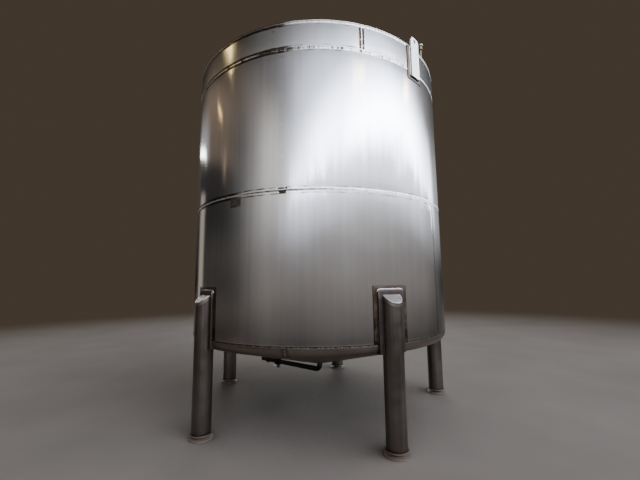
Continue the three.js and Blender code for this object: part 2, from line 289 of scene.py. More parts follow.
class Surface:
    """Grids of points gathered into one mesh. Points that coincide become one, so seams and poles close."""

    # Points in one cell become one; the offset keeps round coordinates away from the sides of cells
    cell = 0.01 * MM
    cell_offset = 0.37

    def __init__(self):
        self.points = []
        self.corners = []
        self.uvs = []
        self.oxides = []
        self.dressings = []
        self.count = 0

    def grid(self, points, uv=None, oxide=0.0, dressed=0.0):
        """Adds rows by columns of points as quads: columns to the right and rows up, seen from outside."""
        rows, columns = points.shape[:2]
        if uv is None:
            along = np.linalg.norm(np.diff(points, axis=1), axis=2).mean(0)
            up = np.linalg.norm(np.diff(points, axis=0), axis=2).mean(1)
            uv = np.stack(np.meshgrid(np.append(0, along.cumsum()), np.append(0, up.cumsum())), -1)
        number = self.count + np.arange(rows * columns).reshape(rows, columns)
        self.points.append(points.reshape(-1, 3))
        self.corners.append(quads_of(number).reshape(-1, 4))
        self.uvs.append(quads_of(uv).reshape(-1, 4, 2))
        self.oxides.append(np.broadcast_to(oxide, (rows, columns)).reshape(-1))
        self.dressings.append(np.broadcast_to(dressed, (rows, columns)).reshape(-1))
        self.count += rows * columns

    def build(self, name, sharp=40):
        """Joins the coinciding points, makes quads with a side of no length triangles, and fills a mesh."""
        points = np.concatenate(self.points)
        corners = np.concatenate(self.corners)
        uvs = np.concatenate(self.uvs)
        cells = np.floor(points / self.cell + self.cell_offset).astype(np.int64)
        _, first, joined = np.unique(cells, axis=0, return_index=True, return_inverse=True)
        corners = joined.reshape(-1)[corners]
        same = corners == np.roll(corners, -1, axis=1)
        full = same.sum(1) == 0
        thin = same.sum(1) == 1
        kept = ~same[thin]
        quads, triangles = corners[full], corners[thin][kept].reshape(-1, 3)
        flat_uv = np.concatenate([uvs[full].reshape(-1, 2), uvs[thin][kept].reshape(-1, 2)])
        order = np.concatenate([quads.reshape(-1), triangles.reshape(-1)])
        starts = np.concatenate([np.arange(len(quads)) * 4, len(quads) * 4 + np.arange(len(triangles)) * 3])
        mesh = bpy.data.meshes.new(name)
        mesh.vertices.add(len(first))
        mesh.vertices.foreach_set("co", points[first].reshape(-1))
        mesh.loops.add(len(order))
        mesh.loops.foreach_set("vertex_index", order)
        mesh.polygons.add(len(starts))
        mesh.polygons.foreach_set("loop_start", starts)
        mesh.update(calc_edges=True)
        layer = mesh.uv_layers.new(name=UV_NAME)
        layer.data.foreach_set("uv", flat_uv.reshape(-1))
        for title, values in ((OXIDE_NAME, self.oxides), (DRESSED_NAME, self.dressings)):
            attribute = mesh.attributes.new(title, "FLOAT", "POINT")
            attribute.data.foreach_set("value", np.concatenate(values)[first].astype(np.float32))
        mesh.shade_smooth()
        mesh.set_sharp_from_angle(angle=math.radians(sharp))
        piece = bpy.data.objects.new(name, mesh)
        bpy.context.scene.collection.objects.link(piece)
        return piece


def add_piece(name, surface, finish, slot, *nodes, sharp=40):
    """Builds a surface, gives it its finish, and lets it ride on the tank in place of its nodes."""
    piece = surface.build(name, sharp)
    piece.data.materials.append(material_for(finish))
    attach(piece, "root")
    if nodes:
        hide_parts(*nodes)


def add_weld(name, surface, slot, finish="brushed_weld_metal"):
    """A piece made of weld beads, whose ripples stay smooth up to steeper angles."""
    add_piece(name, surface, finish, slot, sharp=60)


def spun(vectors, turn):
    """Vectors turned about the upright axis by an angle in degrees."""
    a = math.radians(turn)
    return vectors @ np.array([[math.cos(a), math.sin(a), 0], [-math.sin(a), math.cos(a), 0], [0, 0, 1]])


def placed(points, turn=0.0):
    """Points turned about the upright axis by an angle in degrees, and moved onto the tank's axis."""
    return spun(points, turn) + np.array([0, TANK_Y, 0])


def polar(radius, degrees, height):
    """Points at a radius, direction and height about the upright axis, whichever of these are arrays."""
    radius, a, height = np.broadcast_arrays(radius, np.radians(degrees), height)
    return np.stack([radius * np.cos(a), radius * np.sin(a), height], -1)


def smooth(low, high, x):
    """Zero below low, one above high, and 3t2 - 2t3 between them."""
    t = np.clip((x - low) / (high - low), 0, 1)
    return t * t * (3 - 2 * t)


def ripple(x, seed=0.0):
    """A slow irregular wave between about -1 and 1: the mean of four sines whose periods don't match."""
    return (np.sin(x * 1.0 + seed) + np.sin(x * 2.37 + 1.3 * seed) + np.sin(x * 5.11 + 2.1 * seed)
            + np.sin(x * 11.3 + 0.7 * seed)) / 2.6


def add_sheet(surface, front, back, closed=False, **look):
    """Closes the space between two like grids: front facing out, back in, and strips round their edges."""
    surface.grid(front, **look)
    surface.grid(back[:, ::-1], **{key: np.flip(value, 1) for key, value in look.items()})
    surface.grid(np.stack([back[0], front[0]]))
    surface.grid(np.stack([front[-1], back[-1]]))
    if not closed:
        surface.grid(np.stack([back[:, 0], front[:, 0]], 1))
        surface.grid(np.stack([front[:, -1], back[:, -1]], 1))


def eased(corners, reach, steps=4):
    """An open line with its inner corners rounded.

    A corner P becomes (1-t)2 A + 2t(1-t) P + t2 B, with A and B on its two sides, at most a reach away."""
    corners = np.asarray(corners, float)
    inner = corners[1:-1]
    back, ahead = corners[:-2] - inner, corners[2:] - inner
    back_length, ahead_length = np.linalg.norm(back, axis=1), np.linalg.norm(ahead, axis=1)
    reach = np.minimum(reach, 0.45 * np.minimum(back_length, ahead_length))
    start = inner + back * (reach / back_length)[:, None]
    end = inner + ahead * (reach / ahead_length)[:, None]
    t = np.linspace(0, 1, steps + 1)[None, :, None]
    curve = (1 - t) ** 2 * start[:, None] + 2 * t * (1 - t) * inner[:, None] + t ** 2 * end[:, None]
    return np.concatenate([corners[:1], curve.reshape(-1, corners.shape[1]), corners[-1:]])


def rod(radius, low, high, reach):
    """Profile of a solid round with eased edges: out from the axis, up its side and in over its top."""
    return eased([[0, low], [radius, low], [radius, high], [0, high]], reach)


def turned(profile, steps):
    """A profile of radius and height turned once about the upright axis, from its low end up the outside."""
    degrees = np.linspace(0, 360, steps + 1)
    return polar(profile[:, :1], degrees[None, :], profile[:, 1:])


def rounded_loop(half_width, low, high, corners, inset=0.0, arc_steps=6, side_steps=8):
    """A loop round a rectangle with rounded corners, moved in by an inset, as across and height.

    It runs counter-clockwise from the lower right corner. corners are the four radii, from there on."""
    half_width, low, high = half_width - inset, low + inset, high - inset
    pieces = []
    for q, (sx, top) in enumerate([(1, False), (1, True), (-1, True), (-1, False)]):
        radius = max(corners[q] - inset, 0.0)
        centre = np.array([sx * (half_width - radius), high - radius if top else low + radius])
        a = np.radians(np.linspace(90 * q - 90, 90 * q, arc_steps + 1))
        pieces.append(centre + radius * np.stack([np.cos(a), np.sin(a)], 1))
    t = np.linspace(0, 1, side_steps + 2)[1:-1, None]
    sides = [a[-1] * (1 - t) + b[0] * t for a, b in zip(pieces, pieces[1:] + pieces[:1])]
    loop = np.concatenate([part for pair in zip(pieces, sides) for part in pair])
    return np.concatenate([loop, loop[:1]])


def even(line, spacing):
    """Points at an even spacing along a line of points."""
    length = run_along(line)
    stations = np.linspace(0, length[-1], max(3, round(length[-1] / spacing) + 1))
    return np.stack([np.interp(stations, length, line[:, k]) for k in range(line.shape[1])], 1)


def swept(surface, path, outward, section, closed=False, oxide=0.0):
    """Carries a section along a path: point = path + across * (tangent x outward) + proud * outward.

    section is a closed line of across and proud, over the top from left to right, or one such line per point.
    oxide is one value, one per point of the path, or one per point of the path and of the section."""
    ends = (np.roll(path[:-1], 1, 0), np.roll(path[:-1], -1, 0)) if closed else (path[:-1], path[1:])
    tangent = ends[1] - ends[0] if closed else np.gradient(path, axis=0)
    if closed:
        tangent = np.concatenate([tangent, tangent[:1]])
    tangent /= np.linalg.norm(tangent, axis=1)[:, None]
    across = np.cross(tangent, outward)
    across /= np.linalg.norm(across, axis=1)[:, None]
    section = np.broadcast_to(section, (len(path),) + section.shape[-2:])
    points = path[:, None] + section[..., :1] * across[:, None] + section[..., 1:] * outward[:, None]
    oxide = np.broadcast_to(oxide, points.shape[:2])
    if not closed:
        middle = points[:, :-1].mean(1)
        start, end = (np.broadcast_to(middle[k], points[:1].shape) for k in (0, -1))
        points = np.concatenate([start, points, end])
        oxide = np.concatenate([oxide[:1], oxide, oxide[-1:]])
    surface.grid(points, oxide=oxide)


def bead_section(stations, width, height, pitch, sink, points=13):
    """Sections of a hand-laid weld: half ellipses whose height swells once a pitch, in crescents."""
    theta = np.linspace(math.pi, -math.pi, points)[None, :]
    wave = 1 + 0.28 * np.cos(2 * math.pi * stations[:, None] / pitch + 1.4 * np.cos(theta) ** 2)
    wide = 1 + 0.07 * np.cos(2 * math.pi * stations[:, None] / pitch + 0.9)
    proud = np.where(np.sin(theta) > 0, height * wave * np.sin(theta), sink * np.sin(theta))
    return np.stack(np.broadcast_arrays(width / 2 * wide * np.cos(theta), proud), -1)


def add_bead(surface, path, outward, width, height, turn=0.0, pitch=7 * MM, sink=0.8 * MM, closed=False,
             oxide=0.0):
    """A weld bead along a path that lies on a surface with the given outward directions.

    The path is given about the upright axis, and turned and placed on the tank's axis here."""
    path = placed(path, turn)
    run = run_along(path)
    if closed:
        pitch = run[-1] / max(1, round(run[-1] / pitch))
    section = bead_section(run, width, height, pitch, sink)
    swept(surface, path, spun(outward, turn), section, closed, oxide)


def on_cylinder(loop, radius, middle=-90.0):
    """Lays across and height on a cylinder about the tank's axis: direction = middle + across / radius."""
    return polar(radius, middle + np.degrees(loop[..., 0] / TANK_RADIUS), loop[..., 1])


# Materials

# Numbers of the colour sockets of a Mix node
MIX_A, MIX_B, MIX_RESULT = 6, 7, 2

# How much rougher thick oxide is than bare steel, and how high dust and splashes reach above the floor
OXIDE_ROUGHENING = 0.18
STAIN_HEIGHT = 0.35

# How far the concrete looks for what hides the sky
SHADE_REACH = 2.0

# Finishes of the steel: colour, roughness, and where it differs from plain sheet
FINISHES = {
    # Cold-rolled stainless sheet, pickled and skin-passed: a satin mirror with faint streaks and smears
    "skin_passed_sheet": ("sheet", 0.12, {
        "streak_width": 60 * MM, "cloud": 0.03, "blotch": (70 * MM, 16 * MM), "smears": 0.02,
        "wave_height": 0.5 * MM}),
    # The same sheet from another coil, a touch brighter and calmer than the courses below
    "calm_skin_passed_sheet": ("top_sheet", 0.16, {
        "streak": 0.03, "streak_width": 110 * MM, "cloud": 0.02, "blotch": (70 * MM, 16 * MM),
        "smears": 0.02}),
    # Sheet of the bottom, pickled and never polished: greyer and duller than the courses, its colour darkened
    # as painted shade of the tank's underside
    "pickled_bottom_sheet": ("bottom", 0.36, {"cloud": 0.08, "cloud_size": 200 * MM}),
    # Roof sheet, duller than the shell because dust has settled on it
    "dusty_skin_passed_sheet": ("top_sheet", 0.36, {"streak": 0.04, "cloud": 0.05, "cloud_size": 250 * MM}),
    # Doubler plate left as welded: brown oxide that hides most of the shine and deepens towards the welds,
    # with painted shade that darkens the leg pads downwards
    "scorched_plate": ("leg", 0.42, {
        "streak": 0.10, "streak_width": 30 * MM, "cloud": 0.12, "cloud_size": 60 * MM}),
    # Leg tube ground lengthwise with a coarse belt: dark, with upright streaks and dust at the floor. The
    # belt's scratches are under 1 mm wide and are drawn 42 mm wide, so that they show
    "ground_leg_steel": ("leg", 0.30, {
        "streak": 0.42, "streak_width": 42 * MM, "cloud": 0.08, "cloud_size": 120 * MM, "stain": 0.35}),
    # Saddle plate, rolled and pickled: an even dark grey with a soft sheen
    "saddle_plate": ("saddle", 0.36, {
        "streak": 0.10, "streak_width": 22 * MM, "cloud": 0.10, "cloud_size": 80 * MM}),
    # Pickled plate of caps and lugs: almost white, with a fine even sheen
    "pickled_bright_plate": ("plate", 0.40, {
        "streak": 0.03, "streak_width": 20 * MM, "cloud": 0.04, "cloud_size": 50 * MM}),
    # Turned foot discs under a film of floor dust: mostly matt, with brown stains from wet floors
    "stained_foot_steel": ("foot", 0.55, {
        "streak": 0.08, "streak_width": 8 * MM, "cloud": 0.16, "cloud_size": 30 * MM, "metallic": 0.3}),
    # Turned vent cap with a straw tint from heat and dust
    "straw_vent_steel": ("vent", 0.38, {"streak_width": 10 * MM, "cloud": 0.08, "cloud_size": 30 * MM}),
    # Drawn drain tube, dull from years of splashes
    "dull_drain_steel": ("drain", 0.38, {
        "streak": 0.10, "streak_width": 14 * MM, "cloud": 0.14, "cloud_size": 60 * MM}),
}


def add_node(tree, kind, inputs=None, stops=None, **settings):
    """Adds a shader node, sets its properties, and fills its sockets with values or with other sockets."""
    node = tree.nodes.new(kind)
    for name, value in settings.items():
        setattr(node, name, value)
    for name, value in (inputs or {}).items():
        if isinstance(value, bpy.types.NodeSocket):
            tree.links.new(value, node.inputs[name])
        else:
            node.inputs[name].default_value = value
    if stops:
        ramp = node.color_ramp
        while len(ramp.elements) < len(stops):
            ramp.elements.new(1)
        for element, (position, value) in zip(ramp.elements, stops):
            element.position = position
            element.color = (*value, 1)
    return node


def new_material(name):
    """An empty material with its tree, its Principled shader and its output."""
    material = bpy.data.materials.new(name)
    material.use_nodes = True
    tree = material.node_tree
    tree.nodes.clear()
    shader = add_node(tree, "ShaderNodeBsdfPrincipled")
    add_node(tree, "ShaderNodeOutputMaterial", {"Surface": shader.outputs[0]})
    return material, tree, shader


def steel(name, base, tint, deep_tint, roughness, streak=0.05, streak_width=90 * MM, cloud=0.04,
          cloud_size=400 * MM, blotch=(120 * MM, 120 * MM), smears=0.0, stain=0.0, wave_height=0.25 * MM,
          metallic=1.0, grain=3 * MM, grain_height=0.02 * MM):
    """Stainless steel with upright streaks, slow clouds, fine grain, brown oxide and brushed strips.

    Colour = base * (1 + streak * streaks) * (1 + cloud * clouds), then the tint where the oxide attribute is
    high, which on leg pads also paints shade, and brighter where the attribute of brushing and painted
    highlight
    is high: brushed strips, and a painted highlight along the top edge of a saddle. Roughness follows the
    clouds, and rises with the oxide and in the runs of the smears. The stain browns the lowest part. The
    grain of
    3 mm is drawn coarser than the real one of about 0.1 mm, so that it shows."""
    material, tree, shader = new_material(name)
    uv = add_node(tree, "ShaderNodeUVMap", uv_map=UV_NAME).outputs[0]
    place = add_node(tree, "ShaderNodeTexCoord").outputs["Object"]
    upright = add_node(tree, "ShaderNodeMapping", {
        "Vector": uv, "Scale": (1 / streak_width, 0.28, 1)}).outputs[0]
    streaks = add_node(tree, "ShaderNodeTexNoise", {
        "Vector": upright, "Scale": 1.0, "Detail": 5.0, "Roughness": 0.62}).outputs[0]
    clouds = add_node(tree, "ShaderNodeTexNoise", {
        "Vector": place, "Scale": 1 / cloud_size, "Detail": 4.0, "Roughness": 0.55}).outputs[0]
    specks = add_node(tree, "ShaderNodeTexNoise", {
        "Vector": place, "Scale": 1 / grain, "Detail": 2.0}).outputs[0]
    light = add_node(tree, "ShaderNodeMapRange", {
        "Value": streaks, "From Min": 0.3, "From Max": 0.7, "To Min": 1 - streak,
        "To Max": 1 + streak}).outputs[0]
    mottle = add_node(tree, "ShaderNodeMapRange", {
        "Value": clouds, "From Min": 0.3, "From Max": 0.7, "To Min": 1 - cloud,
        "To Max": 1 + cloud}).outputs[0]
    shade = add_node(tree, "ShaderNodeMath", {0: light, 1: mottle}, operation="MULTIPLY").outputs[0]
    bare = add_node(tree, "ShaderNodeVectorMath", {0: base, "Scale": shade}, operation="SCALE").outputs[0]
    film = add_node(tree, "ShaderNodeAttribute", attribute_name=OXIDE_NAME).outputs["Fac"]
    blotches = add_node(tree, "ShaderNodeMapping", {
        "Vector": uv, "Scale": (1 / blotch[0], 1 / blotch[1], 1)}).outputs[0]
    spots = add_node(tree, "ShaderNodeTexNoise", {
        "Vector": blotches, "Scale": 1.0, "Detail": 3.0, "Roughness": 0.6}).outputs[0]
    uneven = add_node(tree, "ShaderNodeMapRange", {
        "Value": spots, "From Min": 0.36, "From Max": 0.64, "To Min": 0.6, "To Max": 1.2}).outputs[0]
    film = add_node(tree, "ShaderNodeMath", {0: film, 1: uneven},
                    operation="MULTIPLY", use_clamp=True).outputs[0]
    oxide = add_node(tree, "ShaderNodeValToRGB", {"Fac": film}, stops=[
        (0.0, base), (0.3, tuple(0.55 * b + 0.45 * t for b, t in zip(base, tint))),
        (0.62, tint), (1.0, deep_tint)]).outputs[0]
    amount = add_node(tree, "ShaderNodeMapRange", {
        "Value": film, "From Min": 0.0, "From Max": 0.3}).outputs[0]
    coloured = add_node(tree, "ShaderNodeMix", {0: amount, MIX_A: bare, MIX_B: oxide},
                        data_type="RGBA").outputs[MIX_RESULT]
    # Share of brushing, which on a saddle's top edge is a painted highlight
    brushed = add_node(tree, "ShaderNodeAttribute", attribute_name=DRESSED_NAME).outputs["Fac"]
    bright = tuple(min(1.0, c * DRESSED_GAIN) for c in base) + (1,)
    dressed = add_node(tree, "ShaderNodeMix", {0: brushed, MIX_A: coloured, MIX_B: bright},
                       data_type="RGBA").outputs[MIX_RESULT]
    rough = add_node(tree, "ShaderNodeMapRange", {
        "Value": clouds, "From Min": 0.3, "From Max": 0.7,
        "To Min": roughness * 0.88, "To Max": roughness * 1.14}).outputs[0]
    rougher = add_node(tree, "ShaderNodeMath", {
        0: film, 1: OXIDE_ROUGHENING, 2: rough}, operation="MULTIPLY_ADD").outputs[0]
    if smears:
        wet = add_node(tree, "ShaderNodeMapping", {
            "Vector": uv, "Scale": (9, 0.9, 1), "Location": (3, 7, 0)}).outputs[0]
        runs = add_node(tree, "ShaderNodeTexNoise", {
            "Vector": wet, "Scale": 1.0, "Detail": 6.0, "Roughness": 0.7, "Distortion": 0.4}).outputs[0]
        marks = add_node(tree, "ShaderNodeMapRange", {
            "Value": runs, "From Min": 0.56, "From Max": 0.74, "To Max": smears}).outputs[0]
        rougher = add_node(tree, "ShaderNodeMath", {0: rougher, 1: marks}, operation="ADD").outputs[0]
    if stain:
        low = add_node(tree, "ShaderNodeSeparateXYZ", {0: place}).outputs[2]
        dust = add_node(tree, "ShaderNodeMapRange", {
            "Value": low, "From Min": 0.0, "From Max": STAIN_HEIGHT, "To Min": stain,
            "To Max": 0.0}).outputs[0]
        dusty = add_node(tree, "ShaderNodeMath", {0: dust, 1: mottle},
                         operation="MULTIPLY", use_clamp=True).outputs[0]
        dressed = add_node(tree, "ShaderNodeMix", {0: dusty, MIX_A: dressed, MIX_B: (*tint, 1)},
                           data_type="RGBA").outputs[MIX_RESULT]
    waves = add_node(tree, "ShaderNodeBump", {
        "Height": streaks, "Strength": 1.0, "Distance": wave_height}).outputs[0]
    fine = add_node(tree, "ShaderNodeBump", {
        "Height": specks, "Strength": 1.0, "Distance": grain_height, "Normal": waves}).outputs[0]
    shader.inputs["Metallic"].default_value = metallic
    tree.links.new(dressed, shader.inputs["Base Color"])
    tree.links.new(rougher, shader.inputs["Roughness"])
    tree.links.new(fine, shader.inputs["Normal"])
    return material


def brushed_weld_metal(colours):
    """Weld metal brushed by hand: bright crests, dark spots in a few hollows, brown where oxide stays.

    Tone and roughness follow one noise, and the oxide attribute mixes in the tint, which towards the foot of
    a lug is a painted shadow under it. The real spots are a few millimetres wide and are drawn 22 mm wide, so
    that they show."""
    material, tree, shader = new_material("brushed_weld_metal")
    place = add_node(tree, "ShaderNodeTexCoord").outputs["Object"]
    patches = add_node(tree, "ShaderNodeTexNoise", {
        "Vector": place, "Scale": 1 / (22 * MM), "Detail": 3.0, "Roughness": 0.65}).outputs[0]
    bead = tuple(colours.bead)
    tint = tuple(colours.tint)
    tones = add_node(tree, "ShaderNodeValToRGB", {"Fac": patches}, stops=[
        (0.31, tint), (0.38, tuple(0.6 * c for c in bead)), (0.44, bead), (1.0, (1, 1, 1))]).outputs[0]
    film = add_node(tree, "ShaderNodeAttribute", attribute_name=OXIDE_NAME).outputs["Fac"]
    uneven = add_node(tree, "ShaderNodeMapRange", {
        "Value": patches, "From Min": 0.35, "From Max": 0.65, "To Min": 1.3, "To Max": 0.8}).outputs[0]
    film = add_node(tree, "ShaderNodeMath", {0: film, 1: uneven},
                    operation="MULTIPLY", use_clamp=True).outputs[0]
    oxide = add_node(tree, "ShaderNodeValToRGB", {"Fac": film}, stops=[
        (0.0, bead), (0.6, tint), (1.0, tuple(colours.deep_tint))]).outputs[0]
    amount = add_node(tree, "ShaderNodeMapRange",
                      {"Value": film, "From Min": 0.0, "From Max": 0.4}).outputs[0]
    tinted = add_node(tree, "ShaderNodeMix", {0: amount, MIX_A: tones, MIX_B: oxide},
                      data_type="RGBA").outputs[MIX_RESULT]
    rough = add_node(tree, "ShaderNodeMapRange", {
        "Value": patches, "From Min": 0.35, "From Max": 0.6, "To Min": 0.5, "To Max": 0.32}).outputs[0]
    tree.links.new(tinted, shader.inputs["Base Color"])
    tree.links.new(rough, shader.inputs["Roughness"])
    shader.inputs["Metallic"].default_value = 1.0
    return material


def manway_gasket():
    """Moulded silicone ring between flange and lid: soft off-white, no shine, and pores drawn 6 mm wide."""
    material, tree, shader = new_material("manway_gasket")
    place = add_node(tree, "ShaderNodeTexCoord").outputs["Object"]
    pores = add_node(tree, "ShaderNodeTexNoise", {
        "Vector": place, "Scale": 1 / (6 * MM), "Detail": 2.0}).outputs[0]
    tone = add_node(tree, "ShaderNodeValToRGB", {"Fac": pores}, stops=[
        (0.3, linear("#b9b4aa")), (0.7, linear("#d2cdc2"))]).outputs[0]
    tree.links.new(tone, shader.inputs["Base Color"])
    shader.inputs["Roughness"].default_value = 0.7
    return material


def smooth_concrete(stage):
    """Power-floated concrete sealed with resin: pale, slightly cloudy, and lost in the backdrop far off.

    It darkens where the tank hides the sky. The steel mirrors only the floor round the tank, and further out
    the studio's glow instead."""
    material, tree, shader = new_material("smooth_concrete")
    place = add_node(tree, "ShaderNodeTexCoord").outputs["Object"]
    clouds = add_node(tree, "ShaderNodeTexNoise", {"Vector": place, "Scale": 0.8, "Detail": 6.0}).outputs[0]
    tone = tuple(stage.floor)
    shades = add_node(tree, "ShaderNodeValToRGB", {"Fac": clouds}, stops=[
        (0.3, tuple(0.9 * c for c in tone)), (0.7, tuple(1.06 * c for c in tone))]).outputs[0]
    open_sky = add_node(tree, "ShaderNodeAmbientOcclusion", {"Distance": SHADE_REACH},
                        samples=8).outputs["AO"]
    dim = add_node(tree, "ShaderNodeMapRange", {
        "Value": open_sky, "From Min": 0.2, "From Max": 0.6, "To Min": 0.28, "To Max": 1.2}).outputs[0]
    shaded = add_node(tree, "ShaderNodeVectorMath", {0: shades, "Scale": dim},
                      operation="SCALE").outputs[0]
    tree.links.new(shaded, shader.inputs["Base Color"])
    shader.inputs["Roughness"].default_value = 0.6
    shader.inputs["Specular IOR Level"].default_value = 0.05
    far = add_node(tree, "ShaderNodeVectorMath", {0: place}, operation="LENGTH").outputs["Value"]
    fade = add_node(tree, "ShaderNodeMapRange", {
        "Value": far, "From Min": FLOOR_FADE_START, "From Max": FLOOR_FADE_END},
        interpolation_type="SMOOTHSTEP").outputs[0]
    haze = add_node(tree, "ShaderNodeEmission", {"Color": (*stage.backdrop, 1)}).outputs[0]
    seen = add_node(tree, "ShaderNodeMixShader", {0: fade, 1: shader.outputs[0], 2: haze}).outputs[0]
    near = add_node(tree, "ShaderNodeMapRange", {
        "Value": far, "From Min": MIRRORED_FADE_START, "From Max": MIRRORED_FADE_END},
        interpolation_type="SMOOTHSTEP").outputs[0]
    air = add_node(tree, "ShaderNodeBsdfTransparent").outputs[0]
    mirrored = add_node(tree, "ShaderNodeMixShader", {0: near, 1: shader.outputs[0], 2: air}).outputs[0]
    direct = add_node(tree, "ShaderNodeLightPath").outputs["Is Camera Ray"]
    shown = add_node(tree, "ShaderNodeMixShader", {0: direct, 1: mirrored, 2: seen}).outputs[0]
    tree.links.new(shown, tree.nodes["Material Output"].inputs["Surface"])
    return material


def material_for(name):
    """The material of a name, made when it is first asked for, in the colours that the scene has."""
    colours = bpy.context.scene.tank_finishes
    if name in bpy.data.materials:
        return bpy.data.materials[name]
    if name == "manway_gasket":
        return manway_gasket()
    if name == "brushed_weld_metal":
        return brushed_weld_metal(colours)
    base, roughness, differences = FINISHES[name]
    return steel(name, *(tuple(getattr(colours, key)) for key in (base, "tint", "deep_tint")), roughness,
                 **differences)


# Shell

def between_welds(low, high, spacing):
    """Places from one weld to the next, close together near both and a given spacing apart between them."""
    start, end = low + NEAR_WELD[-1], high - NEAR_WELD[-1]
    middle = np.linspace(start, end, max(2, round((end - start) / spacing)) + 1)
    return np.concatenate([low + NEAR_WELD[:-1], middle, high - NEAR_WELD[-2::-1]])


def shell_radius(sizes, degrees, height):
    """Radius of the shell's outside: its size, less the dips at the girth welds, with slow rolling waves."""
    seams = np.array([LOWER_SEAM, MIDDLE_SEAM, UPPER_SEAM, RIM])
    away = (height[..., None] - seams) / sizes.dip_reach
    dips = sizes.dip * np.exp(-away ** 2).sum(-1)
    calm = 1 - np.exp(-away ** 2).max(-1)
    a = np.radians(degrees)
    waves = np.sin(13 * a + 2.1 * height) + np.sin(29 * a - 1.3 * height + 1) + np.sin(7 * a + 3.9 * height)
    return TANK_RADIUS - dips + sizes.wave * calm * (waves / 3 - 1)


def past_lug(degrees):
    """One from the lug on to the right, where the girth welds were never brushed, and zero elsewhere."""
    return smooth(-4, 3, degrees) * smooth(60, 45, degrees)


def unbrushed(degrees, end):
    """One from the left side up to a direction, where a girth weld was brushed only along its crest."""
    return smooth(end + 3, end - 3, degrees) * smooth(-125, -105, degrees)


def oxide_by_side(degrees):
    """How much oxide fitting left beside the girth welds: most at the left, more again past the lug."""
    return np.clip(0.6 + 0.4 * unbrushed(degrees, -52) + 0.3 * past_lug(degrees)
                   + 0.2 * ripple(degrees / 5, 3.0), 0, 1)


def in_mark(mark, degrees, level):
    """Whether points lie in a mark, from their direction and their height above the mark's weld."""
    _, start, end, bottom, top, _, _ = mark
    return ((np.abs(degrees - (start + end) / 2) < (end - start) / 2)
            & (np.abs(level - (bottom + top) / 2 * MM) < (top - bottom) / 2 * MM))


def marked_seam(course):
    """Height of the girth weld that the marks on a course are measured from."""
    return UPPER_SEAM if course == "top" else MIDDLE_SEAM


def course_look(course, degrees, across, height, length):
    """Oxide and brushing of a course, from the distance to the welds round it and from the marks on it.

    Oxide is the largest of three: strips beside the upright seams, a line along each girth weld, and the
    whole band up to that line where the weld was never brushed. Elsewhere a narrower band is bright."""
    low, high = COURSES[course]
    ends = np.minimum(across, length - across)
    to_seams = np.minimum(height - low, high - height)
    to_low = height - low < high - height
    inner, outer, amount = UPRIGHT_STRIPS[course]
    strips = (smooth((inner - 1) * MM, (inner + 1) * MM, ends)
              * (1 - smooth((outer - 2) * MM, (outer + 2) * MM, ends)))
    patchy = np.clip(0.55 + 0.6 * ripple(across * 9 + 2 * height, low), 0, 1)
    edge = np.exp(-((to_seams - OXIDE_LINE) / OXIDE_SPREAD) ** 2) * oxide_by_side(degrees)
    oxide = np.maximum(strips * amount * (0.9 + 0.1 * ripple(height * 60, 2.0)),
                       edge * np.where(to_low, *EDGE_OXIDE[course]) * patchy)
    dressed = (1 - smooth(*BRUSHED_FADE, to_seams)) * (0.75 + 0.25 * ripple(across * 9, low + 2))
    brown = np.where(to_low, *(unbrushed(degrees, end) for end in BRUSHED_FROM[course]))
    brown = np.maximum(brown, past_lug(degrees) * (height > UPPER_SEAM - 0.1))
    to_line = smooth(OXIDE_LINE + 6 * MM, OXIDE_LINE, to_seams)
    band = brown * to_line * (0.85 + 0.15 * ripple(across * 40, 1.0))
    oxide = np.maximum(oxide, band * 0.9)
    dressed = dressed * (1 - brown)
    for mark in MARKS:
        if mark[0] == course:
            inside = in_mark(mark, degrees, height - marked_seam(course))
            oxide = np.where(inside, mark[5], oxide)
            dressed = np.where(inside, mark[6], dressed)
    return np.clip(oxide, 0, 1), dressed


def with_edges(places, edges):
    """Places with two close rows added at each edge of a mark, so that its outline stays sharp."""
    edges = np.asarray(edges, float)
    edges = edges[(edges > places[0] + 2 * MM) & (edges < places[-1] - 2 * MM)]
    return np.unique(np.concatenate([places, edges - 0.8 * MM, edges + 0.8 * MM]))


def course_plate(sizes, course, seam):
    """One rolled plate: a sheet over direction and height, its outside at the shell's radius."""
    low, high = COURSES[course]
    gap = math.degrees(sizes.seam_gap / 2 / TANK_RADIUS)
    length = math.pi * TANK_RADIUS - sizes.seam_gap
    marks = [mark for mark in MARKS if mark[0] == course]
    across = with_edges(between_welds(0.0, length, 45 * MM), [
        math.radians((side - seam) % 360 - gap) * TANK_RADIUS for mark in marks for side in mark[1:3]])
    height = with_edges(between_welds(low, high, 60 * MM), [
        marked_seam(course) + level * MM for mark in marks for level in mark[3:5]])
    across, height = np.meshgrid(across, height)
    degrees = seam + gap + np.degrees(across / TANK_RADIUS)
    outer = shell_radius(sizes, degrees, height)
    oxide, dressed = course_look(course, (degrees + 180) % 360 - 180, across, height, length)
    surface = Surface()
    uv = np.stack([across + math.radians(seam) * TANK_RADIUS, height], -1)
    add_sheet(surface, placed(polar(outer, degrees, height)),
              placed(polar(outer - sizes.wall, degrees, height)),
              uv=uv, oxide=oxide, dressed=dressed)
    return surface


class TankAddShell(bpy.types.Operator):
    """Make the rolled plates of the three courses"""

    bl_idname = "object.tank_add_shell"
    bl_label = "Rolled Courses"

    def execute(self, context):
        sizes = context.scene.tank_shell
        for course, seam in UPRIGHT_SEAMS.items():
            finish, slot = (("calm_skin_passed_sheet", "top_course_sheet") if course == "top"
                            else ("skin_passed_sheet", "mill_finish_sheet"))
            for k in (1, 2):
                add_piece(f"{course}_course_plate_{k}", course_plate(sizes, course, seam + 180 * (k - 1)),
                          finish, slot, f"shell_{course}_plate_{k}")
        return {"FINISHED"}


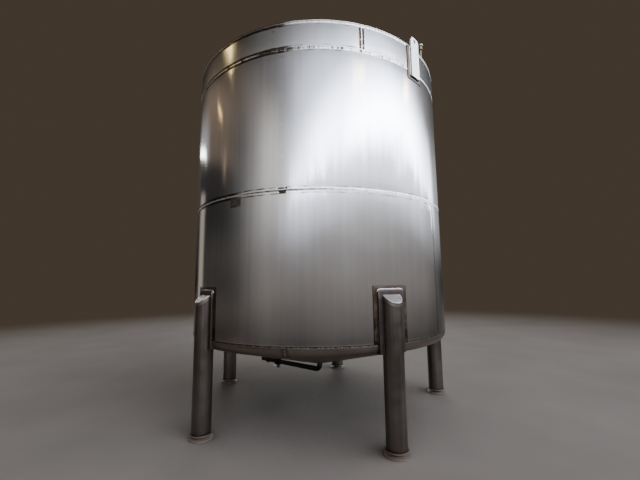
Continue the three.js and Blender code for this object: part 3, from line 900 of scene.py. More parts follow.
def left_in_hollows(degrees, start, end, amount, patches):
    """How much oxide a girth weld keeps by direction: an amount from start to end, and patches elsewhere."""
    inside = smooth(start - 8, start, degrees) * (1 - smooth(end - 4, end + 4, degrees))
    hollows = patches * smooth(0.3, 0.6, ripple(degrees * 0.7, amount))
    return np.maximum(amount * inside * (0.8 + 0.2 * ripple(degrees * 1.7, 2.0)), hollows)


def girth_bead(sizes, height, crest_line, brushed_from, kept):
    """A weld right round the tank at a height, ground to a low wide crown: a bead swept along a circle.

    Its crest keeps a dark line of the given strength, hollows keep oxide, and up to the direction where
    brushing starts both sides of the bead stay brown."""
    # Points round the section, and which of them is its crest
    steps, middle = 25, 6
    degrees = np.linspace(0, 360, 1441)
    path = placed(polar(TANK_RADIUS - sizes.dip, degrees, height))
    run = np.radians(degrees) * TANK_RADIUS
    section = bead_section(run, sizes.bead_width, sizes.bead_height, run[-1] / 360, 0.8 * MM, steps)
    crest = np.zeros(steps)
    crest[middle - 1:middle + 2] = (0.5, 1.0, 0.5)
    wrapped = (degrees + 180) % 360 - 180
    shown = smooth(-74, -66, wrapped) * smooth(-22, -52, wrapped) + 0.35 * smooth(-52, -22, wrapped)
    oxide = np.maximum(crest_line * shown[:, None] * crest, left_in_hollows(wrapped, *kept)[:, None])
    sides = np.where(np.abs(np.arange(steps) - middle) > 2, 0.85, 0.0)
    oxide = np.maximum(oxide, unbrushed(wrapped, brushed_from)[:, None] * sides)
    for mark in MARKS:
        if mark[0] == "weld" and height == MIDDLE_SEAM:
            oxide = np.where(in_mark(mark, wrapped[:, None], -section[..., 0]), mark[5], oxide)
    surface = Surface()
    swept(surface, path, polar(1.0, degrees, 0.0), section, True, np.clip(oxide, 0, 1))
    return surface


def upright_bead(sizes, course, degrees):
    """The weld of an upright seam: proud on the top course, and ground almost flush on the others."""
    low, high = COURSES[course]
    wide, proud, _ = UPRIGHT_WELDS[course]
    height = np.arange(low + 5 * MM, high - 4 * MM, 2.2 * MM)
    spot = np.full_like(height, degrees)
    surface = Surface()
    add_bead(surface, polar(shell_radius(sizes, spot, height), spot, height), polar(1.0, spot, 0.0),
             sizes.flush_width * wide, sizes.flush_height * proud, pitch=9 * MM, sink=0.3 * MM)
    return surface


class TankAddWelds(bpy.types.Operator):
    """Lay the girth welds and the upright welds of the shell"""

    bl_idname = "object.tank_add_welds"
    bl_label = "Shell Welds"

    def execute(self, context):
        sizes = context.scene.tank_shell
        for name, (height, slot, *look) in GIRTH_WELDS.items():
            add_weld(f"girth_weld_{name}", girth_bead(sizes, height, *look), slot)
        for course, seam in UPRIGHT_SEAMS.items():
            for k in (1, 2):
                add_weld(f"{course}_upright_weld_{k}", upright_bead(sizes, course, seam + 180 * (k - 1)),
                         "mill_finish_sheet", UPRIGHT_WELDS[course][2])
        return {"FINISHED"}


# Bottom and roof

def bottom_line(sizes, offset=0.0):
    """Radius and height from the middle of the cone out to its seam: a slope, then the knuckle's arc."""
    slope = sizes.slope
    a = np.linspace(slope - math.pi / 2, 0, 15)
    centre = np.array([TANK_RADIUS - sizes.knuckle, LOWER_SEAM])
    arc = centre + (sizes.knuckle + offset) * np.stack([np.cos(a), np.sin(a)], 1)
    t = np.linspace(0, 1, 25)[:-1, None]
    tip = np.array([0, arc[0, 1] - arc[0, 0] * math.tan(slope)])
    return np.concatenate([tip * (1 - t) + arc[:1] * t, arc])


def roof_line(sizes, offset=0.0):
    """Radius and height from the rim up and in to the opening: the knuckle's arc, then a straight slope."""
    a = np.linspace(0, math.pi / 2 - sizes.slope, 9)
    centre = np.array([TANK_RADIUS - sizes.knuckle, RIM])
    arc = centre + (sizes.knuckle + offset) * np.stack([np.cos(a), np.sin(a)], 1)
    rise = (arc[-1, 0] - sizes.opening) * math.tan(sizes.slope)
    end = np.array([sizes.opening, arc[-1, 1] + rise])
    t = np.linspace(0, 1, 25)[1:, None]
    return np.concatenate([arc, arc[-1:] * (1 - t) + end * t])


def sheet_uv(degrees, line):
    """Distance round the tank at the shell, and distance along the sheet's own line of radius and height."""
    return np.stack(np.broadcast_arrays(np.radians(degrees) * TANK_RADIUS, run_along(line)[:, None]), -1)


def add_radial_bead(surface, line, direction, oxide=0.0):
    """A low weld along a line of radius and height, in one direction from the tank's axis."""
    line = even(line, 3 * MM)
    degrees = np.full(len(line), direction)
    slope = np.gradient(line, axis=0)
    outward = np.stack([slope[:, 1], -slope[:, 0]], 1) / np.linalg.norm(slope, axis=1)[:, None]
    add_bead(surface, polar(line[:, 0], degrees, line[:, 1]), polar(outward[:, 0], degrees, outward[:, 1]),
             12 * MM, 1.1 * MM, pitch=10 * MM, oxide=oxide)


class TankAddBottom(bpy.types.Operator):
    """Make the sector plates of the conical bottom and the welds between them"""

    bl_idname = "object.tank_add_bottom"
    bl_label = "Conical Bottom"

    def execute(self, context):
        sizes, shell = context.scene.tank_bottom, context.scene.tank_shell
        outer, inner = bottom_line(sizes), bottom_line(sizes, -shell.wall)
        half = 180 / sizes.plates
        t = np.linspace(-1, 1, 37)[None, :]
        for k in range(sizes.plates):
            middle = -90 + 360 * k / sizes.plates
            shift = np.degrees(shell.seam_gap / 2 / np.maximum(outer[:, :1], 0.05))
            degrees = middle + t * (half - shift)
            surface = Surface()
            front = placed(polar(outer[:, :1] - 0.2 * MM, degrees, outer[:, 1:]))
            back = placed(polar(np.maximum(inner[:, :1] - 0.2 * MM, 0), degrees, inner[:, 1:]))
            to_edge = (1 - np.abs(t)) * np.radians(half) * outer[:, :1]
            oxide = 0.4 * np.exp(-(to_edge / (22 * MM)) ** 2) + 0.15
            add_sheet(surface, front, back, uv=sheet_uv(degrees, outer), oxide=oxide)
            add_piece(f"bottom_cone_plate_{k + 1}", surface, "pickled_bottom_sheet", "mill_finish_sheet",
                      f"bottom_sector_{k + 1}")
            weld = Surface()
            add_radial_bead(weld, outer[4:-2], middle + half, 0.35)
            add_weld(f"bottom_weld_{k + 1}", weld, "mill_finish_sheet")
        return {"FINISHED"}


class TankAddRoof(bpy.types.Operator):
    """Make the conical roof with its radial welds"""

    bl_idname = "object.tank_add_roof"
    bl_label = "Conical Roof"

    def execute(self, context):
        sizes = context.scene.tank_roof
        outer, inner = roof_line(sizes), roof_line(sizes, -sizes.wall)
        degrees = np.linspace(0, 360, 241)[None, :]
        phase = np.radians(degrees * sizes.plates)
        near = np.arccos(np.clip(np.cos(phase), -1, 1)) / sizes.plates * outer[:, :1]
        sag = 2.0 * MM * np.sin(phase / 2) ** 2 * smooth(TANK_RADIUS, TANK_RADIUS * 0.8, outer[:, :1])
        oxide = 0.45 * np.exp(-(near / (25 * MM)) ** 2)
        surface = Surface()
        add_sheet(surface, placed(polar(outer[:, :1], degrees, outer[:, 1:] - sag)),
                  placed(polar(inner[:, :1], degrees, inner[:, 1:] - sag)),
                  closed=True, uv=sheet_uv(degrees, outer), oxide=oxide)
        add_piece("roof_sheet_cone", surface, "dusty_skin_passed_sheet", "roof_sheet", "roof_cone")
        welds = Surface()
        for k in range(sizes.plates):
            add_radial_bead(welds, outer[8:], 360 * k / sizes.plates)
        collar = np.linspace(0, 360, 721)
        foot = outer[-1]
        add_bead(welds, polar(foot[0] + 1 * MM, collar, foot[1]), polar(0.3, collar, 0.95),
                 8 * MM, 4 * MM, pitch=8 * MM, closed=True)
        add_weld("roof_welds", welds, "roof_sheet")
        return {"FINISHED"}


# Legs

def plate_rows(half_width, low, high, corners, insets):
    """Loops of a rounded rectangle at a list of insets, as rows of across and height."""
    return np.stack([rounded_loop(half_width, low, high, corners, inset) for inset in insets])


def edge_rows(edge, steps=4):
    """Insets and drops of a rounded edge, from its side up onto the face: a quarter circle."""
    a = np.linspace(0, math.pi / 2, steps + 1)
    return edge * (1 - np.cos(a)), edge * (1 - np.sin(a))


def curved_plate(half_width, low, high, corner, thickness, oxide_at, turn):
    """A plate laid on the shell: loops from the middle of its back, round its eased edge, to its ridge.

    What gives its oxide, and on a leg pad its painted shade, takes the loops and their distance from the
    plate's edge."""
    reach = min(half_width, (high - low) / 2)
    inset, drop = edge_rows(PAD_EDGE)
    inward = np.array([4, 9, 16, 26, 40, 60, 90, 130]) * MM
    inward = np.append(inward[inward < reach * 0.9], reach)
    insets = np.concatenate([inward[::-1], [0], inset, inward])
    face = PAD_BACK + thickness
    radii = np.concatenate([np.full(len(inward) + 1, PAD_BACK), face - drop, np.full(len(inward), face)])
    rows = plate_rows(half_width, low, high, [corner] * 4, insets)
    to_edge = np.broadcast_to(insets[:, None], rows.shape[:2])
    surface = Surface()
    surface.grid(placed(on_cylinder(rows, radii[:, None]), turn), uv=rows, oxide=oxide_at(rows, to_edge))
    return surface


def pad_oxide(rows, to_edge):
    """Brown oxide that deepens along the edge, with painted shade that darkens it downwards and leaves it
    weaker across the top.
    """
    height = (rows[..., 1] - PAD_LOW.z) / (PAD_HIGH.z - PAD_LOW.z)
    # Painted shade: more oxide towards the bottom of the pad, less across its top
    lower = 0.62 + 0.38 * smooth(0.55, 0.0, height) + 0.1 * ripple(rows[..., 1] * 23)
    return np.clip(lower - 0.25 * smooth(0.92, 1.0, height) + 0.15 * np.exp(-(to_edge / (5 * MM)) ** 2), 0, 1)


def leg_pad(sizes, turn):
    """The doubler pad of a leg."""
    return curved_plate(PAD_HALF, PAD_LOW.z, PAD_HIGH.z, sizes.pad_corner, PAD_THICKNESS, pad_oxide, turn)


def support_depth(bottom, across, height):
    """Distance in front of the tank's axis of what lies behind a saddle: pad or shell, then the knuckle."""
    below = np.clip((LOWER_SEAM - height) / bottom.knuckle, 0, 0.999)
    knuckle = TANK_RADIUS - bottom.knuckle + bottom.knuckle * np.sqrt(1 - below ** 2) + 0.6 * MM
    radius = np.where(height > PAD_LOW.z, PLATE_BACK, knuckle)
    return np.sqrt(radius ** 2 - across ** 2)


def leg_saddle(sizes, bottom, turn):
    """The saddle plate: loops from the middle of its back out to its outline and in again over its face."""
    half = (SADDLE_HIGH.x - SADDLE_LOW.x) / 2
    corners = [2 * MM, sizes.saddle_corner, sizes.saddle_corner, 2 * MM]
    inset, drop = edge_rows(sizes.saddle_edge)
    inward = np.array([8, 16, 30, 55, 90, half / MM]) * MM
    insets = np.concatenate([inward[::-1], [0], inset, inward])
    rows = plate_rows(half, SADDLE_LOW.z, SADDLE_HIGH.z, corners, insets)
    count = len(inward) + 1
    back = support_depth(bottom, rows[:count, :, 0], rows[:count, :, 1])
    front = SADDLE_FACE - np.concatenate([drop, np.zeros(len(inward))])
    depth = np.concatenate([back, np.broadcast_to(front[:, None], (len(front), rows.shape[1]))])
    points = np.stack([rows[..., 0], -depth, rows[..., 1]], -1)
    side = np.abs(np.abs(rows[..., 0]) - sizes.tube_radius)
    oxide = 0.15 + 0.5 * np.exp(-(side / (9 * MM)) ** 2) + 0.25 * np.exp(-(insets[:, None] / (7 * MM)) ** 2)
    # Painted highlight: near its top edge the saddle's sides and top are drawn brighter and free of oxide
    edge = (np.abs(rows[..., 0]) > half - 12 * MM) | (rows[..., 1] > SADDLE_HIGH.z - 20 * MM)
    dressed = edge * smooth(SADDLE_HIGH.z - 60 * MM, SADDLE_HIGH.z - 30 * MM, rows[..., 1])
    surface = Surface()
    surface.grid(placed(points, turn), uv=rows, oxide=oxide * (1 - dressed), dressed=dressed)
    return surface


def tube_uv(points, angle, radius):
    """Distance round a tube and height, for a grid whose columns lie at the given angles about its axis."""
    return np.stack([np.broadcast_to(angle * radius, points.shape[:2]), points[..., 2]], -1)


def chord_of(line, height):
    """The points of an arc moved back onto the saddle's face, at one height."""
    return np.stack([line[:, 0], np.full(len(line), -SADDLE_FACE), np.full(len(line), height)], 1)


def leg_tube(sizes, bottom, turn):
    """The leg tube: a full round below the saddle, its front half above it, cut off by the sloping mitre."""
    radius = sizes.tube_radius
    low = TUBE_LOW.z + sizes.end_plate + 0.3 * MM
    shoulder = SADDLE_LOW.z - 0.4 * MM
    degrees = np.linspace(90, 450, 97)
    a = np.radians(degrees)
    x, depth = radius * np.cos(a), LEG_CIRCLE - radius * np.sin(a)
    under = np.interp(np.hypot(x, depth), *bottom_line(bottom).T, right=9.0) - 0.6 * MM
    top = np.where(depth > LEG_CIRCLE - 1e-9, shoulder, np.minimum(under, shoulder))
    t = np.append(np.linspace(0, 0.04, 4)[:-1], np.linspace(0.04, 1, 40))[:, None]
    lower = np.stack(np.broadcast_arrays(x, -depth, low + (top - low) * t), -1)
    near_foot = np.exp(-((lower[..., 2] - low) / (16 * MM)) ** 2)
    surface = Surface()
    surface.grid(placed(lower, turn), uv=tube_uv(lower, a, radius), oxide=0.75 * near_foot + 0.12)
    front = np.sin(a) <= 1e-9
    fx, fdepth = x[front], depth[front]
    mitre = sizes.mitre_top - (fdepth - SADDLE_FACE) * math.tan(sizes.mitre)
    t = np.concatenate([np.linspace(0, 0.9, 22), [0.915, 0.93, 0.945, 0.96, 0.975, 0.99, 1]])[:, None]
    upper = np.stack(np.broadcast_arrays(fx, -fdepth, shoulder + (mitre - shoulder) * t), -1)
    below_cut = mitre - upper[..., 2]
    band = smooth(44 * MM, 32 * MM, below_cut) * (0.8 + 0.2 * ripple(upper[..., 0] * 90))
    edge = np.exp(-((below_cut - 40 * MM) / (5 * MM)) ** 2)
    surface.grid(placed(upper, turn), uv=tube_uv(upper, a[front], radius), oxide=0.12 + 0.5 * edge,
                 dressed=band)
    back = np.stack([upper[:, 0], upper[:, -1]], 1)
    flat = np.linspace(0, 1, front.sum())[None, :, None]
    wall = back[:, 1:] + (back[:, :1] - back[:, 1:]) * flat
    wall[:, :, 0] = fx[::-1]
    surface.grid(placed(wall, turn))
    surface.grid(placed(np.stack([upper[-1], chord_of(upper[-1], sizes.mitre_top)]), turn))
    rear = ~front | (np.abs(np.sin(a)) < 1e-9)
    half = np.flatnonzero(rear & (degrees <= 181)), np.flatnonzero(rear & (degrees >= 359))
    line = np.concatenate([lower[-1, half[1]], lower[-1, half[0]][1:]])
    surface.grid(placed(np.stack([line, chord_of(line, shoulder)]), turn))
    centre = np.broadcast_to(np.array([0, -LEG_CIRCLE, low]), lower[0].shape)
    surface.grid(placed(np.stack([centre, lower[0]]), turn))
    return surface


def leg_cap(sizes, turn):
    """The sloping cap: a half disc in plan, lying on the mitre, from its underside round its eased edge."""
    radius = (CAP_HIGH.x - CAP_LOW.x) / 2
    lift = 1 / math.cos(sizes.mitre)
    a = np.radians(np.linspace(180, 360, 49))
    across = np.linspace(1, -1, 25)[1:-1]
    outline = np.concatenate([np.stack([np.cos(a), np.sin(a)], 1),
                              np.stack([across, np.zeros(len(across))], 1)])
    outline = np.concatenate([outline, outline[:1]])
    inset, drop = edge_rows(1.4 * MM)
    centre = np.array([0, -0.42])
    shrink = np.array([1, 0.9, 0.6, 0.3, 0])
    scale = np.concatenate([shrink[::-1], 1 - inset / radius, shrink[1:] * (1 - inset[-1] / radius)])
    low, high = 0.4 * MM * lift, (0.4 * MM + sizes.cap_thickness) * lift
    rise = np.concatenate([np.full(len(shrink), low), high - drop, np.full(len(shrink) - 1, high)])
    plan = centre + (outline - centre) * scale[:, None, None]
    x, y = radius * plan[..., 0], radius * plan[..., 1] - SADDLE_FACE - 0.5 * MM
    height = sizes.mitre_top + (y + SADDLE_FACE) * math.tan(sizes.mitre) + rise[:, None]
    surface = Surface()
    points = np.stack([x, y, height], -1)
    surface.grid(placed(points, turn), uv=points[..., :2],
                 oxide=0.3 * np.exp(-((1 - scale[:, None]) / 0.02) ** 2))
    return surface


def add_pad_weld(surface, half, low, high, corner, width, oxide, turn):
    """A weld on the shell round the pad of the given size."""
    loop = even(rounded_loop(half + 1 * MM, low - 1 * MM, high + 1 * MM, [corner] * 4), WELD_STEP)
    radial = on_cylinder(np.stack([loop[:, 0], np.zeros(len(loop))], 1), 1.0)
    add_bead(surface, on_cylinder(loop, PAD_BACK), radial, width, 2 * MM, turn, closed=True, oxide=oxide)


def on_pad(loop):
    """A loop of across and height laid on a pad's face, and the outward direction at each of its points."""
    depth = np.sqrt(PAD_FACE ** 2 - loop[:, 0] ** 2)
    normal = np.stack([loop[:, 0], -depth, np.zeros(len(loop))], 1) / PAD_FACE
    return np.stack([loop[:, 0], -depth, loop[:, 1]], 1), normal


def leg_welds(sizes, turn):
    """The welds of a leg: round the pad, up and over the saddle, beside the tube and under its cap."""
    surface = Surface()
    add_pad_weld(surface, PAD_HALF, PAD_LOW.z, PAD_HIGH.z, sizes.pad_corner, sizes.fillet * 0.6, 0.9, turn)
    half = (SADDLE_HIGH.x - SADDLE_LOW.x) / 2
    loop = rounded_loop(half + 2 * MM, PAD_LOW.z, SADDLE_HIGH.z + 2 * MM,
                        [0, sizes.saddle_corner, sizes.saddle_corner, 0], side_steps=40)
    loop = even(loop[loop[:, 1] > PAD_LOW.z + 1 * MM], WELD_STEP)
    path, normal = on_pad(loop)
    below = smooth(SADDLE_HIGH.z - 12 * MM, SADDLE_HIGH.z - 42 * MM, loop[:, 1])
    dots = below * (0.8 + 0.2 * ripple(loop[:, 1] * 140, turn))
    add_bead(surface, path, normal, sizes.fillet * 1.1, 5 * MM, turn, oxide=np.clip(dots, 0, 1)[:, None])
    for side in (-1, 1):
        height = np.arange(SADDLE_LOW.z + 2 * MM, sizes.mitre_top - 2 * MM, WELD_STEP)
        path = np.stack([np.full_like(height, side * (sizes.tube_radius + 1 * MM)),
                         np.full_like(height, -SADDLE_FACE), height], 1)
        outward = np.broadcast_to(np.array([0.0, -1.0, 0.0]), path.shape)
        add_bead(surface, path, outward, sizes.fillet, 4 * MM, turn, oxide=0.75)
    a = np.radians(np.linspace(182, 358, 200))
    normal = np.stack([np.cos(a), np.sin(a), np.zeros(len(a))], 1)
    path = sizes.tube_radius * normal
    path[:, 2] = sizes.mitre_top + path[:, 1] * math.tan(sizes.mitre) - 1.5 * MM
    path[:, 1] -= SADDLE_FACE
    add_bead(surface, path, normal, sizes.fillet * 0.7, 2.4 * MM, turn)
    degrees = np.linspace(0, 360, 262)
    normal = polar(1.0, degrees, 0.0)
    path = sizes.tube_radius * normal + np.array([0, -LEG_CIRCLE, TUBE_LOW.z + sizes.end_plate + 1.5 * MM])
    add_bead(surface, path, normal, sizes.fillet * 0.8, 3.4 * MM, turn, closed=True, oxide=0.8)
    return surface


def round_at_leg(profile, steps, turn):
    """A profile turned about a leg's own axis."""
    return placed(turned(profile, steps) + np.array([0, -LEG_CIRCLE, 0]), turn)


def leg_end_plate(sizes, turn):
    """The round plate that closes a tube, with eased edges."""
    profile = rod(sizes.end_radius, TUBE_LOW.z, TUBE_LOW.z + sizes.end_plate, 2 * MM)
    surface = Surface()
    surface.grid(round_at_leg(profile, 72, turn), oxide=0.45)
    return surface


def leg_foot(sizes, turn):
    """The foot: a crowned disc with a boss, and the levelling screw with a helical thread.

    Thread radius = root + depth * |triangle wave| of height / pitch less the turn about the axis."""
    boss_top = FOOT_LOW.z + 22 * MM
    rim = FOOT_RADIUS - 0.5 * MM
    disc = eased([[0, 0], [rim, 0], [rim, 8 * MM], [60 * MM, 14.5 * MM],
                  [sizes.boss_radius, 16 * MM], [sizes.boss_radius, boss_top], [0, boss_top]],
                 np.array([1.5, 2.5, 12, 4, 2]) * MM, 5)
    surface = Surface()
    surface.grid(round_at_leg(disc, 72, turn), oxide=0.08)
    degrees = np.linspace(0, 360, 49)[None, :]
    height = np.linspace(boss_top - 3 * MM, FOOT_HIGH.z, 41)[:, None]
    phase = (height / sizes.thread_pitch - degrees / 360) % 1
    radius = sizes.stem_radius - 1.6 * MM * (1 - np.abs(2 * phase - 1))
    stem = polar(radius, degrees, height) + np.array([0, -LEG_CIRCLE, 0])
    start, end = (np.broadcast_to(np.array([0, -LEG_CIRCLE, z]), stem[:1].shape) for z in height[[0, -1], 0])
    surface.grid(placed(np.concatenate([start, stem, end]), turn), oxide=0.2)
    return surface


class TankAddLegs(bpy.types.Operator):
    """Make the legs: pads, saddles, tubes with their end plates, caps, feet and welds"""

    bl_idname = "object.tank_add_legs"
    bl_label = "Legs"

    def execute(self, context):
        sizes, bottom = context.scene.tank_legs, context.scene.tank_bottom
        for k in range(LEG_COUNT):
            turn = 360 * k / LEG_COUNT
            leg = f"leg_{k + 1}"
            add_piece(f"{leg}_doubler", leg_pad(sizes, turn), "scorched_plate", "heat_tinted_plate",
                      f"{leg}_pad")
            add_piece(f"{leg}_saddle_plate", leg_saddle(sizes, bottom, turn), "saddle_plate", "leg_steel",
                      f"{leg}_saddle")
            add_piece(f"{leg}_ground_tube", leg_tube(sizes, bottom, turn), "ground_leg_steel", "leg_steel",
                      f"{leg}_tube")
            add_piece(f"{leg}_end_plate", leg_end_plate(sizes, turn), "stained_foot_steel", "leg_steel")
            add_piece(f"{leg}_sloping_cap", leg_cap(sizes, turn), "pickled_bright_plate", "bright_plate",
                      f"{leg}_cap")
            add_piece(f"{leg}_levelling_foot", leg_foot(sizes, turn), "stained_foot_steel", "foot_steel",
                      f"{leg}_foot")
            add_weld(f"{leg}_welds", leg_welds(sizes, turn), "leg_steel")
        return {"FINISHED"}


# Lifting lugs

def lug_plate(sizes, turn):
    """The lug: rows ruled between its outline and its eye, over the face, through the eye, over the back."""
    half = (LUG_HIGH.y - LUG_LOW.y) / 2
    near, far = PLATE_BACK, PLATE_BACK + sizes.lug_thickness
    eye_height = LUG_HIGH.z - sizes.eye_drop
    corners = [3 * MM, sizes.lug_corner, sizes.lug_corner, 3 * MM]
    outline = rounded_loop(half, LUG_LOW.z, LUG_HIGH.z, corners, arc_steps=14, side_steps=22)
    rest = outline - np.array([0, eye_height])
    direction = rest / np.linalg.norm(rest, axis=1)[:, None]
    inset, drop = edge_rows(2 * MM)
    inner = [rounded_loop(half, LUG_LOW.z, LUG_HIGH.z, corners, i, 14, 22) for i in inset]
    mouth = [direction * (sizes.eye_radius + i) + np.array([0, eye_height]) for i in inset[::-1]]
    ruled = [inner[-1] * (1 - t) + mouth[0] * t for t in (0.04, 0.12, 0.3, 0.55, 0.8, 0.93)]
    face = inner + ruled + mouth
    depths = list(drop) + [0.0] * len(ruled) + list(drop[::-1])
    rows = np.stack(face + face[::-1] + face[:1])
    front = [far - d for d in depths]
    back = [near + d for d in depths[::-1]]
    depth = np.array(front + back + front[:1])[:, None]
    points = np.stack(np.broadcast_arrays(rows[..., 0], -depth, rows[..., 1]), -1)
    to_pad = smooth(LUG_PAD_HIGH.z + 60 * MM, LUG_LOW.z, rows[..., 1])
    surface = Surface()
    from_eye = np.linalg.norm(rows - np.array([0, eye_height]), axis=-1)
    bore = smooth(sizes.eye_radius + 3 * MM, sizes.eye_radius + 1 * MM, from_eye)
    surface.grid(placed(points, turn), uv=rows, oxide=np.maximum(0.10 * to_pad, bore))
    return surface


def lug_pad_oxide(rows, to_edge):
    """Dark oxide along the pad's edge, mottled lighter steel within."""
    return np.clip(1.2 * np.exp(-(to_edge / (9 * MM)) ** 2) + 0.22 + 0.2 * ripple(rows[..., 1] * 60), 0, 1)


def lug_welds(turn):
    """Welds round the lug pad on the shell, and up both sides and under the foot of the lug on its pad."""
    surface = Surface()
    add_pad_weld(surface, LUG_PAD_HALF, LUG_PAD_LOW.z, LUG_PAD_HIGH.z, 6 * MM, 6 * MM, 0.95, turn)
    half = (LUG_HIGH.y - LUG_LOW.y) / 2 + 2 * MM
    low, high = LUG_LOW.z - 2 * MM, LUG_PAD_HIGH.z - 4 * MM
    loop = even(np.array([[half, high], [half, low], [-half, low], [-half, high]])[::-1], WELD_STEP)
    path, normal = on_pad(loop)
    # The bead darkens towards the foot of the lug: a painted shadow under the lug
    add_bead(surface, path, normal, 12 * MM, 5 * MM, turn,
             oxide=(0.7 * smooth(low + 30 * MM, low, loop[:, 1]) + 0.2)[:, None])
    return surface


class TankAddLugs(bpy.types.Operator):
    """Make the two lifting lugs with their pads and welds"""

    bl_idname = "object.tank_add_lugs"
    bl_label = "Lifting Lugs"

    def execute(self, context):
        sizes = context.scene.tank_fittings
        for side, turn in (("right", 90), ("left", -90)):
            pad = curved_plate(LUG_PAD_HALF, LUG_PAD_LOW.z, LUG_PAD_HIGH.z, 5 * MM, sizes.lug_pad,
                               lug_pad_oxide, turn)
            add_piece(f"{side}_lug_doubler", pad, "scorched_plate", "heat_tinted_plate", f"lug_pad_{side}")
            add_piece(f"{side}_lug_plate", lug_plate(sizes, turn), "pickled_bright_plate", "bright_plate",
                      f"lifting_lug_{side}")
            add_weld(f"{side}_lug_welds", lug_welds(turn), "bright_plate")
        return {"FINISHED"}


# Vent and manway

class TankAddVent(bpy.types.Operator):
    """Make the vent pipe and its cap near the rim"""

    bl_idname = "object.tank_add_vent"
    bl_label = "Vent"

    def execute(self, context):
        centre = (VENT_LOW + VENT_HIGH) / 2
        shift = np.array([centre.x, centre.y, 0])
        pipe_radius = (VENT_PIPE_HIGH.x - VENT_PIPE_LOW.x) / 2
        cap_radius, low, high = (VENT_HIGH.x - VENT_LOW.x) / 2, VENT_LOW.z, VENT_HIGH.z
        pipe = Surface()
        profile = rod(pipe_radius, VENT_PIPE_LOW.z, VENT_PIPE_HIGH.z, 1 * MM)
        pipe.grid(turned(profile, 36) + shift, oxide=0.5)
        add_piece("vent_stem", pipe, "straw_vent_steel", "fitting_steel", "vent_pipe")
        body = 28 * MM
        rings = [[0, low], [body - 4 * MM, low], [body, low + 5 * MM], [body, low + 14 * MM],
                 [body - 3 * MM, low + 17 * MM], [body - 3 * MM, high - 26 * MM], [body, high - 23 * MM],
                 [cap_radius, high - 22 * MM], [cap_radius, high - 5 * MM], [cap_radius - 6 * MM, high],
                 [0, high]]
        head = Surface()
        outline = eased(rings, 2 * MM)
        under_cap = smooth(high - 18 * MM, high - 26 * MM, outline[:, 1:])
        head.grid(turned(outline, 60) + shift, oxide=0.5 * under_cap)
        add_piece("vent_hood", head, "straw_vent_steel", "fitting_steel", "vent_cap")
        return {"FINISHED"}


def swing_bolt(surface, sizes, degrees, radius, low, high):
    """A swing bolt with a washer and a wing nut: turned rounds, and two wings as flattened half rounds."""
    shift = polar(radius, degrees, 0.0) + np.array([0, TANK_Y, 0])
    bolt = sizes.bolt_radius
    nut_low = LID_LOW.z + 13 * MM
    nut = eased([[0, nut_low], [bolt * 2.1, nut_low], [bolt * 2.1, nut_low + 3 * MM],
                 [bolt * 1.5, nut_low + 4 * MM], [bolt * 1.4, nut_low + 14 * MM],
                 [0, nut_low + 14 * MM]], 1 * MM)
    surface.grid(turned(rod(bolt, low, high, 1 * MM), 24) + shift)
    surface.grid(turned(nut, 24) + shift)
    u, v = np.linspace(0, 2 * math.pi, 25)[None, :], np.linspace(-math.pi / 2, math.pi / 2, 13)[:, None]
    for side in (-1, 1):
        wing = np.stack(np.broadcast_arrays(
            side * bolt * 2.3 + bolt * 1.5 * np.cos(v) * np.cos(u), 2.2 * MM * np.cos(v) * np.sin(u),
            nut_low + 13 * MM + 9 * MM * np.sin(v)), -1)
        surface.grid(spun(wing, degrees + 90) + shift)


class TankAddManway(bpy.types.Operator):
    """Make the manway: neck with its flange, gasket, dished lid and swing bolts"""

    bl_idname = "object.tank_add_manway"
    bl_label = "Manway"

    def execute(self, context):
        sizes = context.scene.tank_fittings
        flange = (NECK_HIGH.y - NECK_LOW.y) / 2
        neck = context.scene.tank_roof.opening - 0.4 * MM
        inner = neck - 4 * MM
        profile = eased([[inner, NECK_LOW.z], [neck, NECK_LOW.z], [neck, NECK_HIGH.z - 12 * MM],
                         [flange, NECK_HIGH.z - 12 * MM], [flange, NECK_HIGH.z], [inner, NECK_HIGH.z],
                         [inner, NECK_LOW.z]], 1.5 * MM)
        tube = Surface()
        tube.grid(placed(turned(profile, 144)))
        add_piece("manway_collar", tube, "dusty_skin_passed_sheet", "roof_sheet", "manway_neck")
        seal = Surface()
        rim = flange - 9 * MM
        ring = [[rim - 14 * MM, NECK_HIGH.z - 1.2 * MM], [rim, NECK_HIGH.z - 1.2 * MM],
                [rim, NECK_HIGH.z + 1.2 * MM], [rim - 14 * MM, NECK_HIGH.z + 1.2 * MM],
                [rim - 14 * MM, NECK_HIGH.z - 1.2 * MM]]
        seal.grid(placed(turned(eased(ring, 0.6 * MM), 120)))
        add_piece("manway_seal", seal, "manway_gasket", "roof_sheet")
        lid = Surface()
        edge, rise = LID_LOW.z + 12 * MM, LID_HIGH.z - LID_LOW.z - 12 * MM
        t = np.linspace(0, 1, 22)
        dish = flange - 25 * MM
        dome = np.stack([dish * np.cos(t * math.pi / 2), edge + rise * np.sin(t * math.pi / 2) ** 1.3], 1)
        dome[-1, 0] = 0
        low = LID_LOW.z + 1 * MM
        outer = eased([[0, low], [flange, low], [flange, edge], [dish + 4 * MM, edge]], 2 * MM)
        lid.grid(placed(turned(np.concatenate([outer, dome]), 144)))
        add_piece("manway_cover", lid, "dusty_skin_passed_sheet", "roof_sheet", "manway_lid")
        clamps = Surface()
        for k in range(sizes.clamp_count):
            swing_bolt(clamps, sizes, 30 + 360 * k / sizes.clamp_count, flange - 10 * MM,
                       NECK_HIGH.z - 26 * MM, LID_HIGH.z - 14 * MM)
        add_piece("manway_swing_bolts", clamps, "pickled_bright_plate", "fitting_steel")
        return {"FINISHED"}


# Drain

# Distances from the tank's axis along the drain's run
VALVE_START, VALVE_END = 800 * MM, 852 * MM
NUT_START, NUT_END = 1030 * MM, 1064 * MM
OUTLET_END = 1180 * MM

# Bolts of the valve, and the radius of the circle they stand on
VALVE_BOLTS = 8
VALVE_BOLT_CIRCLE = 52 * MM


